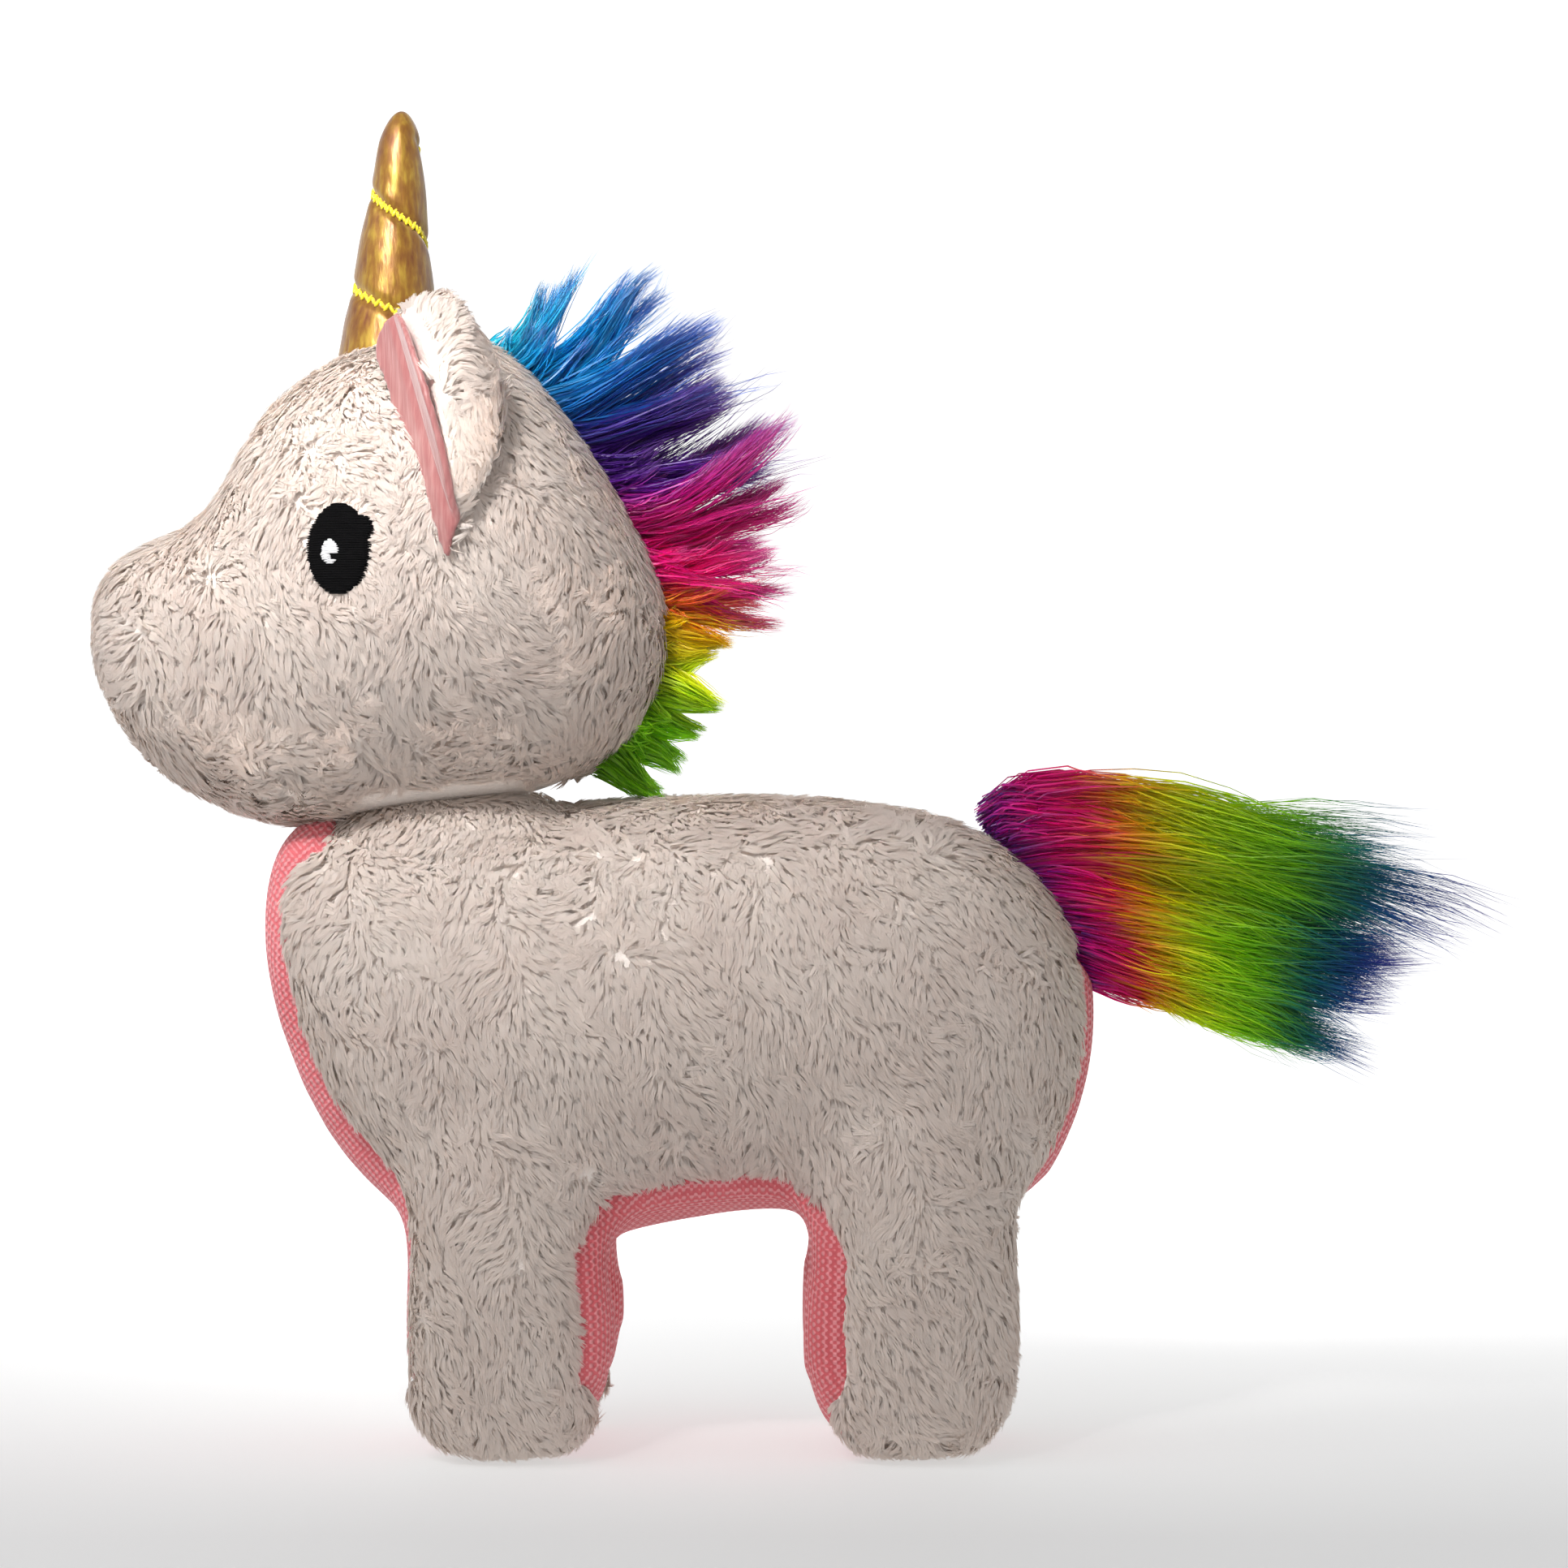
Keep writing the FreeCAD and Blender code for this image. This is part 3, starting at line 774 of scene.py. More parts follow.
def make_fur(name, place, normal, flow, length, fasten):
    """Tufts as pieces of at most TUFTS_IN_PIECE. fasten is called on each piece: for the torso, head, neck
    and ears it puts the piece on its body, and for a leg it only bakes the piece's transform.
    """
    rng = np.random.default_rng(len(place))
    pieces = []
    for number, start in enumerate(range(0, len(place), TUFTS_IN_PIECE)):
        some = slice(start, start + TUFTS_IN_PIECE)
        centre, half, shade = plush_tufts(place[some], normal[some], flow[some], length[some], rng)
        centre[..., 2] = np.maximum(centre[..., 2], FIBRE_LOWEST_Z)
        piece = ribbon_mesh(f"{name}_{number + 1}", centre, half, PLUSH, normals=shade)
        fasten(piece)
        pieces.append(piece)
    return pieces


# Body and legs


def on_torso(piece):
    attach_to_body(piece, "torso")


def on_leg(body, x, y):
    def fasten(piece):
        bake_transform(piece)
    return fasten


def leg_of(points):
    """0 for the torso, or 1 to 4 for the leg in the order of LEG_NAMES."""
    front = points[:, 1] < (FRONT_LEG_Y + HIND_LEG_Y) / 2
    left = points[:, 0] > 0
    number = np.where(front, np.where(left, 1, 2), np.where(left, 3, 4))
    middle = np.where(front, FRONT_LEG_Y, HIND_LEG_Y)
    near = np.abs(points[:, 1] - middle) < 24.5
    return np.where((points[:, 2] < LEG_BEND_START) & near & (np.abs(points[:, 0]) > 4.0), number, 0)


def under_head(points):
    """Below 1 over the round patch where head and torso meet."""
    oval = np.hypot(points[:, 0] / 21.0, (points[:, 1] + 64.0) / 24.0)
    return np.where((points[:, 2] > 108.0) & (points[:, 2] < 126.0), oval, 9.0)


def tuck_seam(obj):
    """Draws the cloth in where the two panels are sewn together."""
    points, _, normals = mesh_arrays(obj)
    distance = seam_distance(points)
    full = GUSSET_FULL * (0.35 + 0.65 * smoothstep(points[:, 2], 34.0, 56.0))
    depth = SEAM_TUCK * np.exp(-(distance / 1.6) ** 2) - full * smoothstep(-distance, 0.0, 7.0)
    depth *= (points[:, 2] > SOLE_Z + 1.0)
    set_points(obj, points - normals * depth[:, None])


def make_body():
    skin = make_body_skin()
    snap_to_seam(skin)
    tuck_seam(skin)
    legs = list(LEG_NAMES.items())
    fills = ["body_stuffing"] + [f"{name}_leg_stuffing" for name, _ in legs]
    for number in range(5):
        name = "body" if number == 0 else f"{legs[number - 1][0]}_leg"
        fasten = on_torso if number == 0 else on_leg(name, *legs[number - 1][1])
        here = lambda p: (leg_of(p) == number).astype(float)
        white = part_of(skin, f"{name}_plush_backing", lambda p: here(p) * (seam_distance(p) > 0),
                        PLUSH_GROUND)
        pink = part_of(skin, f"{name}_gusset_cloth", lambda p: here(p) * (seam_distance(p) <= 0), GUSSET)
        subdivide(pink, 1)
        place, normal = scatter(white, 100 + number)
        seen = under_head(place) > 1.0
        place, normal = place[seen], normal[seen]
        flow = unit(np.array([[0.0, 0.35, -1.0]]) + swell(place, 30.0, 8) * 0.3)
        edge = smoothstep(seam_distance(place), -0.5, 3.0)
        length = TUFT_LENGTH * (0.72 + 0.28 * edge)
        low = smoothstep(place[:, 2], 0.5, 4.0)
        fur = make_fur(f"{name}_plush_tufts", place, normal, flow, length * (0.55 + 0.45 * low), fasten)
        fasten(white)
        fasten(pink)
        if number == 0:
            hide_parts("body_cover_left", "body_cover_right")
            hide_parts("chest_gusset", "belly_gusset", "rump_gusset")
        else:
            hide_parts(f"{name}_cover")
            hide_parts(f"{name}_inner_panel")
        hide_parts(fills[number])
    bpy.data.objects.remove(skin)


def centre_skin_hit(tree, origin, way):
    """Where a line from origin leaves the skin: place and outward direction, in millimetres."""
    hit, normal, _, _ = tree.ray_cast(Vector(origin) * MM, Vector(way))
    return np.array(hit) / MM, np.array(normal)


def skin_tree(obj):
    graph = bpy.context.evaluated_depsgraph_get()
    return BVHTree.FromObject(obj, graph)


# Head

EYE_LOW, EYE_HIGH = node_box("eye_left")
EYE_CENTRE = np.array([0.0, EYE_LOW[1] + 5.6, (EYE_LOW[2] + EYE_HIGH[2]) / 2])
EYE_HALF = (5.9, 8.0)
LASH_CENTRE = EYE_CENTRE + np.array([0.0, 4.2, 3.6])
LASH_R = 2.3
MANE_ORIGIN = (0.0, -62.0, 160.0)
MANE_FIRST = 10.0
MANE_LAST = 141.0
MANE_STRIP_HALF = 3.6
HORN_LOW, HORN_HIGH = node_box("horn_cover")
HORN_R = 9.6
HORN_FOOT = np.array([0.0, HORN_LOW[1] + HORN_R, HORN_LOW[2] + HORN_R])
COLLAR_CENTRE = np.array([0.0, -60.5, 108.5])
COLLAR_HALF = (22.0, 28.5, 14.5)


def in_eye(points, grow):
    """Below 1 inside the left or right eye's outline, grown by grow."""
    y, z = points[:, 1] - EYE_CENTRE[1], points[:, 2] - EYE_CENTRE[2]
    oval = np.sqrt((y / (EYE_HALF[0] + grow)) ** 2 + (z / (EYE_HALF[1] + grow)) ** 2)
    lash = np.hypot(points[:, 1] - LASH_CENTRE[1], points[:, 2] - LASH_CENTRE[2]) / (LASH_R + grow)
    inside = np.minimum(oval, lash)
    return np.where(np.abs(points[:, 0]) > 15.0, inside, 9.0)


def mane_angle(points):
    """Degrees round the middle of the head, from straight up towards the back."""
    return np.degrees(np.arctan2(points[:, 1] - MANE_ORIGIN[1], points[:, 2] - MANE_ORIGIN[2]))


def on_head(piece):
    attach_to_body(piece, "head")


def head_flow(points):
    """The pile lies back from the nose and down the cheeks."""
    back = smoothstep(points[:, 1], -125.0, -60.0)[:, None]
    side = np.sign(points[:, :1]) * np.array([[0.35, 0.0, 0.0]])
    nose = np.array([[0.0, -0.25, -0.5]])
    rest = np.array([[0.0, 0.45, -0.75]])
    return unit(nose * (1 - back) + rest * back + side + swell(points, 26.0, 9) * 0.45)


def make_head():
    skin = stuffed_skin("head_plush_backing", [long_loft(HEAD_ROWS, PILE_DEPTH * 0.5)], 2)
    place, normal = scatter(skin, 300)
    angle = mane_angle(place)
    mane = (np.abs(place[:, 0]) < MANE_STRIP_HALF) & (angle > MANE_FIRST) & (angle < MANE_LAST)
    horn = np.hypot(place[:, 0], place[:, 1] - HORN_FOOT[1]) < 8.2
    horn &= place[:, 2] > 180.0
    keep = ~(mane | horn) & (under_head(place) > 1.0) & (in_eye(place, -0.9) > 1.0)
    place, normal = place[keep], normal[keep]
    shy = smoothstep(in_eye(place, 0.0), 0.9, 1.7)
    length = TUFT_LENGTH * (0.62 + 0.38 * shy)
    away = place - EYE_CENTRE
    away[:, 0] = 0.0
    flow = unit(head_flow(place) + unit(away) * (1 - shy)[:, None] * 1.2)
    fur = make_fur("head_plush_tufts", place, normal, flow, length, on_head)
    on_head(skin)
    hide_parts("head_cover_left", "head_cover_right")
    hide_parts("head_stuffing")
    return skin


def make_neck():
    """The stuffed ball that the head turns on, with a collar of pile that fills the fold round it."""
    angle = np.linspace(0, 2 * np.pi, 72, endpoint=False)
    rings = []
    for lift in np.linspace(-1.45, 1.45, 25):
        ring = np.stack([np.cos(angle) * COLLAR_HALF[0], np.sin(angle) * COLLAR_HALF[1],
                         np.full_like(angle, math.tan(lift / 1.6) / math.tan(1.45 / 1.6))], -1)
        width = math.sqrt(max(1.0 - ring[0, 2] ** 2, 0.04))
        rings.append(ring * (width, width, COLLAR_HALF[2]) + COLLAR_CENTRE)
    points, faces = capped_rings(np.array(rings))
    collar = new_object("neck_plush_backing", points, faces, PLUSH_GROUND)
    place, normal = scatter(collar, 700)
    round_side = (normal[:, 2] < 0.93) & (place[:, 2] > 102.0)
    place, normal = place[round_side], normal[round_side]
    flow = unit(np.array([[0.0, 0.2, -1.0]]) + swell(place, 20.0, 8) * 0.5)
    fur = make_fur("neck_plush_tufts", place, normal, flow, np.full(len(place), SHORT_TUFT_LENGTH),
                   lambda piece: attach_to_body(piece, "neck"))
    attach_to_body(collar, "neck")
    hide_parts("neck_stuffing")
    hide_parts("neck_stuffing")


def tube_mesh(name, lines, radius, material, sides=6):
    """Round threads along lines (n, k, 3), thinner at both ends."""
    n, k, _ = lines.shape
    along = unit(np.gradient(lines, axis=1))
    helper = np.where(np.abs(along[..., :1]) < 0.8, [[[1.0, 0, 0]]], [[[0, 0, 1.0]]])
    first = unit(np.cross(along, helper))
    second = np.cross(along, first)
    angle = 2 * np.pi * np.arange(sides) / sides
    taper = np.ones(k)
    taper[[0, -1]] = 0.35
    size = (radius * taper)[None, :, None, None]
    round_way = first[:, :, None] * np.cos(angle)[:, None] + second[:, :, None] * np.sin(angle)[:, None]
    rings = lines[:, :, None] + size * round_way
    vertices = rings.reshape(-1, 3)
    a, i, j = np.meshgrid(np.arange(n), np.arange(k - 1), np.arange(sides), indexing="ij")
    base = a * k * sides + i * sides
    after = (j + 1) % sides
    quads = np.stack([base + j, base + after, base + sides + after, base + sides + j], -1).reshape(-1, 4)
    start = (np.arange(n) * k * sides)[:, None]
    low = start + np.arange(sides)[::-1]
    high = start + (k - 1) * sides + np.arange(sides)
    return new_object(name, vertices, [quads, np.vstack([low, high])], material)


def stitched_patch(name, side, tree, inside, pitch, lift, material, rng):
    """Satin stitches: level threads side by side over the part of the cheek where inside() holds."""
    lines = []
    low, high = EYE_CENTRE[2] - 9.0, EYE_CENTRE[2] + 9.0
    for z in np.arange(low, high, pitch):
        y = np.linspace(EYE_CENTRE[1] - 8.0, EYE_CENTRE[1] + 9.0, 171)
        row = np.stack([np.full_like(y, side * 30.0), y, np.full_like(y, z)], -1)
        y = y[inside(row)]
        if len(y) < 6:
            continue
        ends = np.array([y[0] - rng.uniform(0, 0.25), y[-1] + rng.uniform(0, 0.25)])
        tilt = rng.normal(0, 0.06)
        line = []
        for t in np.linspace(0, 1, 15):
            at = (side * 60.0, ends[0] + (ends[1] - ends[0]) * t, z + tilt * (t - 0.5))
            hit, normal = centre_skin_hit(tree, at, (-side, 0, 0))
            crown = lift * math.sqrt(max(1 - (2 * t - 1) ** 2, 0.02))
            line.append(hit + normal * (crown + 0.15))
        lines.append(line)
    return tube_mesh(name, np.array(lines), pitch * 0.62, material)


def make_eyes(skin):
    tree = skin_tree(skin)
    rng = np.random.default_rng(41)
    for side, label in ((1, "left"), (-1, "right")):
        black = stitched_patch(f"eye_{label}_black_stitches", side, tree, lambda p: in_eye(p, 0.0) < 1.0,
                               0.42, 1.0, EYE_BLACK, rng)
        glint_low, glint_high = node_box(f"eye_glint_{label}")
        middle = (glint_low + glint_high) / 2 + np.array([0.0, -1.2, -0.6])

        def in_glint(p):
            dy, dz = p[:, 1] - middle[1], p[:, 2] - middle[2]
            notch = (dy > 0.1) & (dz < -0.3) & (dz > -1.3)
            return (np.hypot(dy / 1.9, dz / 2.1) < 1.0) & ~notch
        white = stitched_patch(f"eye_{label}_glint_stitches", side, tree, in_glint, 0.36, 1.5,
                               EYE_WHITE, rng)
        attach(black, "head", "eye_black", f"eye_{label}")
        attach(white, "head", "eye_white", f"eye_glint_{label}")


# Horn

HORN_LENGTH = HORN_HIGH[2] - HORN_FOOT[2]
HORN_TIP_R = 3.9
HORN_PITCH = 18.0
HORN_WIND_START = -0.2
HORN_WIND_TURNS = 2.15
HORN_FIRST_ANGLE = math.radians(150.0)
HORN_LEAN = math.radians(3.0)


def horn_wind(angle, z):
    """Signed height above the nearest turn of the sewn spiral, in millimetres."""
    turns = (HORN_FIRST_ANGLE - angle) / (2 * np.pi)
    height = z - HORN_WIND_START - turns * HORN_PITCH
    return (height + HORN_PITCH / 2) % HORN_PITCH - HORN_PITCH / 2


def horn_radius(angle, z):
    """The sewn spiral pinches the cone, and the stuffing swells between its turns."""
    straight = HORN_R - 0.3 - (HORN_R - HORN_TIP_R) * z / (HORN_LENGTH - HORN_TIP_R)
    gap = horn_wind(angle, z)
    wound = smoothstep(z, 1.0, 6.0) * (1 - smoothstep(z, HORN_LENGTH - 8.0, HORN_LENGTH - 3.0))
    pinch = 0.95 * np.exp(-(gap / 1.3) ** 2) * wound
    swelling = 0.25 * np.cos(np.pi * gap / (HORN_PITCH / 2)) * wound
    end = np.clip((HORN_LENGTH - z) / 6.5, 0.0, 1.0)
    cap = np.sqrt(np.clip(1 - (1 - end) ** 2, 0.0, 1.0))
    crease = 0.16 * np.sin(angle * 7 + z * 0.35) * np.exp(-(gap / 3.5) ** 2) * wound
    return np.maximum((straight - pinch - swelling * 0.6 + crease) * cap, 0.02)


def stand_horn(points):
    c, s = math.cos(-HORN_LEAN), math.sin(-HORN_LEAN)
    turn = np.array([[1, 0, 0], [0, c, -s], [0, s, c]])
    return points @ turn.T + HORN_FOOT


def make_horn():
    count = 96
    cap = HORN_LENGTH - 4.0 * np.linspace(0.93, 0.0, 14) ** 1.6
    heights = np.concatenate([np.linspace(-7.0, HORN_LENGTH - 4.0, 120), cap])
    angle = np.linspace(0, 2 * np.pi, count, endpoint=False)
    rings = []
    for z in heights:
        r = horn_radius(angle, np.full_like(angle, z))
        rings.append(np.stack([r * np.cos(angle), r * np.sin(angle), np.full_like(angle, z)], -1))
    points, faces = capped_rings(np.array(rings))
    horn = new_object("horn_satin_cover", stand_horn(points), faces, HORN_SATIN)
    attach(horn, "horn", "horn_satin", "horn_cover", "horn_stuffing")
    stitches = []
    step = 0.9
    around = 2 * np.pi * 7.5
    for i in range(int(HORN_WIND_TURNS * around / step)):
        turns = i * step / around
        a = HORN_FIRST_ANGLE - 2 * np.pi * turns
        z = HORN_WIND_START + turns * HORN_PITCH
        if z > HORN_LENGTH - 5.0:
            break
        up = 0.75 if i % 2 else -0.75
        reach = 0.062
        ends = [(a + reach, z - up), (a, z), (a - reach, z + up)]
        line = []
        for t in np.linspace(0, 1, 5):
            aa = ends[0][0] + (ends[2][0] - ends[0][0]) * t
            zz = ends[0][1] + (ends[2][1] - ends[0][1]) * t
            r = float(horn_radius(np.array([aa]), np.array([zz]))[0]) + 0.12 + 0.28 * math.sin(math.pi * t)
            line.append((r * math.cos(aa), r * math.sin(aa), zz))
        stitches.append(line)
    thread = tube_mesh("horn_zigzag_thread", stand_horn(np.array(stitches)), 0.36, HORN_THREAD)
    attach(thread, "horn", "horn_thread", "horn_thread")


# Ears


def lean_ear(points, low, high, share):
    """Tips the front of the ear forwards and down, by this share."""
    up = np.clip((points[:, 2] - low[2]) / (high[2] - low[2]), 0.0, 1.0)
    moved = points.copy()
    moved[:, 1] -= (0.2 + 4.0 * up) * share
    moved[:, 2] -= (2.6 + 3.0 * up) * share
    return moved


def remeshed_copy(node, name, material, voxel_mm, rounds):
    """The CAD's shape as a new, evenly meshed and softened piece."""
    obj = bpy.data.objects.new(name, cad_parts[node].data.copy())
    bpy.context.scene.collection.objects.link(obj)
    obj.data.materials.clear()
    obj.data.materials.append(material)
    remesh(obj, voxel_mm)
    relax(obj, rounds)
    return obj


def make_ear(label):
    body = f"ear_{label}"
    skin = remeshed_copy(f"ear_{label}_back", f"ear_{label}_plush_backing", PLUSH_GROUND, 1.0, 6)
    points, _, normals = mesh_arrays(skin)
    points = points - normals * 0.9
    lining = remeshed_copy(f"ear_{label}_lining", f"ear_{label}_satin_lining", EAR_SATIN, 0.55, 3)
    lp = mesh_arrays(lining)[0]
    low, high = lp.min(0), lp.max(0)
    forward = unit(lp.mean(0) - points.mean(0))
    up = np.clip((lp[:, 2] - low[2]) / (high[2] - low[2]), 0.0, 1.0)
    levels = np.linspace(0.05, 0.95, 10)
    centre_y = np.interp(up, levels, [lp[np.abs(up - u) < 0.05, 1].mean() for u in levels])
    lp[:, 1] = centre_y + (lp[:, 1] - centre_y) * (1.0 + 0.55 * (1.0 - up) * smoothstep(up, 0.0, 0.2))
    lp = lean_ear(lp, low, high, 1.0)
    points = lean_ear(points, low, high, smoothstep(((points - lp.mean(0)) * forward).sum(1), -9.0, -1.0))
    set_points(skin, points)
    spread = lp - lp.mean(0)
    _, _, axes = np.linalg.svd(spread[::7], full_matrices=False)
    across = spread @ axes[1]
    crease = np.exp(-(across / 1.1) ** 2) * 0.8
    cup = 1.6 * (1 - np.clip((across / 8.0) ** 2, 0, 1))
    set_points(lining, lp - forward * (crease + cup)[:, None])
    place, normal = scatter(skin, 500)
    facing = (normal * forward).sum(1)
    rim = facing < 0.55
    place, normal = place[rim], normal[rim]
    up = np.array([[0.0, 0.25, 0.6]]) * np.ones((len(place), 1))
    flow = unit(up + swell(place, 14.0, 11) * 0.6)
    fur = make_fur(f"ear_{label}_plush_tufts", place, normal, flow, np.full(len(place), SHORT_TUFT_LENGTH),
                   lambda piece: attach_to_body(piece, body))
    for piece, slot in ((skin, "white_plush"), (lining, "ear_satin")):
        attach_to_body(piece, body)
    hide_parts(f"ear_{label}_back")
    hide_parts(f"ear_{label}_back")
    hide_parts(f"ear_{label}_lining")


# Long pile: the mane and the tail

LOCK_STEPS = np.linspace(0, 1, 9)
PILE_FIBRE_HALF = 0.17
FIBRES_IN_PIECE = 12000
WISP_FIBRES = 40  # locks of no more than this are wisps, of finer fibres
FIBRE_SHARE = 1.0


def blend_rows(table, at):
    """Rows of a table (position, value...) read at positions, straight between rows."""
    table = np.asarray(table, float)
    return np.stack([np.interp(at, table[:, 0], table[:, i]) for i in range(1, table.shape[1])], -1)


def locks(root, pull, start_way, end_way, length, spread, fibres, bend, rng):
    """Centre lines (n, fibres, steps, 3) of pointed locks, whose fibres draw together towards the tip.

    A lock leaves in start_way, and has turned to end_way after about twice the share bend of its length.
    Its tip is moved by pull, towards the tips of its neighbours."""
    n = len(root)
    fibres = int(fibres * FIBRE_SHARE)
    t = LOCK_STEPS[None, None, :, None]
    part = rng.random((n, fibres))
    reach = (length[:, None] * (1.0 - 0.45 * part ** 1.3))[..., None, None]
    offset = rng.normal(size=(n, fibres, 3))
    offset *= np.minimum(1.0, 1.7 / np.linalg.norm(offset, axis=-1, keepdims=True)) * spread
    gather = 1.0 - 0.93 * t ** 1.35
    way0 = unit(start_way[:, None] + rng.normal(0, 0.07, (n, fibres, 3)))[:, :, None]
    way1 = unit(end_way[:, None] + rng.normal(0, 0.04, (n, fibres, 3)))[:, :, None]
    middle = way1 * t + (way0 - way1) * bend * (1.0 - np.exp(-t / bend))
    phase = rng.uniform(0, 2 * np.pi, (n, 1, 1, 3))
    wave = np.sin(phase + t * 6.0) * 0.045 * t
    frizz = rng.normal(0, 0.008, (n, fibres, len(LOCK_STEPS), 3)) * t
    along = root[:, None, None] + pull[:, None, None] * t ** 1.2
    return along + offset[:, :, None] * gather + (middle + wave + frizz) * reach


def tips_together(root, group, share):
    """For each root, the way to the middle of its group's roots, times share."""
    middle = np.array([root[group == g].mean(0) for g in range(group.max() + 1)])
    return (middle[group] - root) * share


def make_pile(name, groups, tint_at, rng, body, slot):
    """Pieces of long pile from groups of lock centre lines. tint_at(points, lock share, t) gives colours."""
    lines = np.concatenate([g.reshape(-1, len(LOCK_STEPS), 3) for g in groups])
    shade = np.concatenate([np.repeat(rng.uniform(0.82, 1.16, (len(g), 1)), g.shape[1]) for g in groups])
    thin = np.concatenate([np.full(g[..., 0, 0].size, 1.0 if g.shape[1] > WISP_FIBRES else 0.75)
                           for g in groups])
    heading = unit(lines[:, -1] - lines[:, 0])
    random_way = unit(rng.normal(size=(len(lines), 3)) + np.array([[1.0, 0, 0]]))
    across = unit(np.cross(heading, np.cross(random_way, heading)))
    width = PILE_FIBRE_HALF * (1.0 - LOCK_STEPS ** 2 * 0.85)
    half = across[:, None] * (thin[:, None] * width)[..., None]
    tint = np.clip(tint_at(lines) * (shade * rng.uniform(0.85, 1.15, len(lines)))[:, None, None], 0, 1)
    order = rng.permutation(len(lines))
    for number, start in enumerate(range(0, len(order), FIBRES_IN_PIECE)):
        some = order[start:start + FIBRES_IN_PIECE]
        piece = ribbon_mesh(f"{name}_{number + 1}", lines[some], half[some], PILE, tint=tint[some])
        attach(piece, body, slot, slot)


def dye(rows):
    """Rows of (position, linear colour) from rows of (position, sRGB from 0 to 255)."""
    return [(position, *srgb(*colour)) for position, *colour in rows]


# Degrees round the head, then colour
MANE_TINTS = dye([
    (9.0, 0, 186, 214), (16.0, 0, 160, 214), (26.0, 0, 132, 206), (33.0, 16, 96, 190),
    (37.0, 62, 30, 150), (44.0, 74, 14, 140), (56.0, 104, 16, 160), (63.0, 196, 0, 150),
    (70.0, 232, 0, 142), (88.0, 230, 0, 128), (93.0, 240, 104, 30), (98.0, 240, 200, 0),
    (106.0, 226, 214, 0), (113.0, 206, 230, 10), (122.0, 160, 224, 20), (145.0, 140, 214, 26),
])
# (angle, length, start way y, start way z, end way y, end way z)
MANE_SHAPE = [
    (10.0, 20.0, 0.6, 0.7, 0.35, 1.0), (15.0, 25.0, 0.85, 0.55, 0.5, 1.0),
    (22.0, 33.0, 1.0, 0.25, 0.75, 0.9), (31.0, 41.0, 1.0, 0.12, 0.85, 0.8),
    (38.0, 38.0, 1.0, -0.05, 0.9, 0.6), (48.0, 37.0, 1.0, -0.18, 0.95, 0.5),
    (58.0, 40.0, 1.0, -0.28, 0.9, 0.55), (68.0, 36.0, 1.0, -0.35, 0.8, 0.65),
    (80.0, 31.0, 1.0, -0.35, 0.9, 0.45), (90.0, 26.0, 1.0, -0.3, 1.0, 0.05),
    (97.0, 14.0, 1.0, -0.2, 0.9, 0.1), (107.0, 12.0, 1.0, -0.25, 0.9, -0.1),
    (120.0, 15.0, 1.0, -0.45, 1.0, -0.4), (143.0, 14.0, 0.8, -0.6, 0.8, -0.7),
]


def mane_root(tree, angle):
    """The place and outward direction on the back of the head at this angle, in radians."""
    return centre_skin_hit(tree, MANE_ORIGIN, (0.0, math.sin(angle), math.cos(angle)))


def mane_locks(tree, angle, in_group, spread, fibres, stretch, rng):
    count = len(angle)
    stretch = rng.uniform(*stretch, count)
    group = np.arange(count) // in_group
    shape = blend_rows(MANE_SHAPE, angle)
    root = np.array([mane_root(tree, a)[0] for a in np.radians(angle)])
    groups = group.max() + 1
    side = np.clip(rng.uniform(-1, 1, groups)[group] + rng.uniform(-0.4, 0.4, count), -1, 1)
    root[:, 0] = side * MANE_STRIP_HALF
    lean = side * 0.28 + rng.normal(0, 0.08, groups)[group]
    jitter = rng.normal(0, 0.13, (groups, 2))[group] + rng.normal(0, 0.025, (count, 2))
    start = np.stack([lean * 1.3, shape[:, 1] + jitter[:, 0] * 0.5, shape[:, 2] + jitter[:, 1] * 0.5], -1)
    end = np.stack([lean * 0.4, shape[:, 3], shape[:, 4] + jitter[:, 1] * 1.7], -1)
    length = shape[:, 0] * stretch * rng.uniform(0.8, 1.1, groups)[group]
    return locks(root, tips_together(root, group, 0.85), start, end, length, spread, fibres, 0.4, rng)


def make_mane(head_skin):
    tree = skin_tree(head_skin)
    rng = np.random.default_rng(77)
    span = MANE_LAST - MANE_FIRST
    even = MANE_FIRST + span * (np.arange(54) + rng.uniform(0.1, 0.9, 54)) / 54
    wisps = MANE_FIRST + (97.0 - MANE_FIRST) * rng.random(40)
    under = MANE_FIRST + span * (np.arange(150) + rng.random(150)) / 150
    groups = [
        mane_locks(tree, even, 3, 1.7, 200, (0.92, 1.14), rng),
        mane_locks(tree, wisps, 1, 0.5, 24, (0.9, 1.2), rng),
        mane_locks(tree, under, 1, 1.9, 56, (0.26, 0.5), rng),
    ]

    def tint_at(lines):
        angle = mane_angle(lines[:, 0]) + rng.normal(0, 1.3, len(lines))
        t = LOCK_STEPS[None, :, None]
        # Painted shade: each fibre's colour is darker at its root, 0.6 of the dye there, rising to full by
        # 0.3 of its length.
        base = blend_rows(MANE_TINTS, angle)[:, None] * (0.6 + 0.4 * smoothstep(t, 0.0, 0.3))
        pale = np.array(srgb(190, 150, 215))
        return base + (pale - base) * 0.28 * smoothstep(t, 0.55, 1.0) * (angle < 95.0)[:, None, None]

    make_pile("mane_pile_locks", groups, tint_at, rng, "head", "mane_pile")
    rows = []
    for a in np.radians(np.linspace(MANE_FIRST, MANE_LAST, 60)):
        hit, normal = mane_root(tree, a)
        rows.append(hit + normal * 0.2 + np.linspace(-1, 1, 9)[:, None] * (MANE_STRIP_HALF, 0.0, 0.0))
    backing_strip("mane_backing_strip", np.array(rows), lambda p: blend_rows(MANE_TINTS, mane_angle(p)),
                  "head", ["mane_backing"])


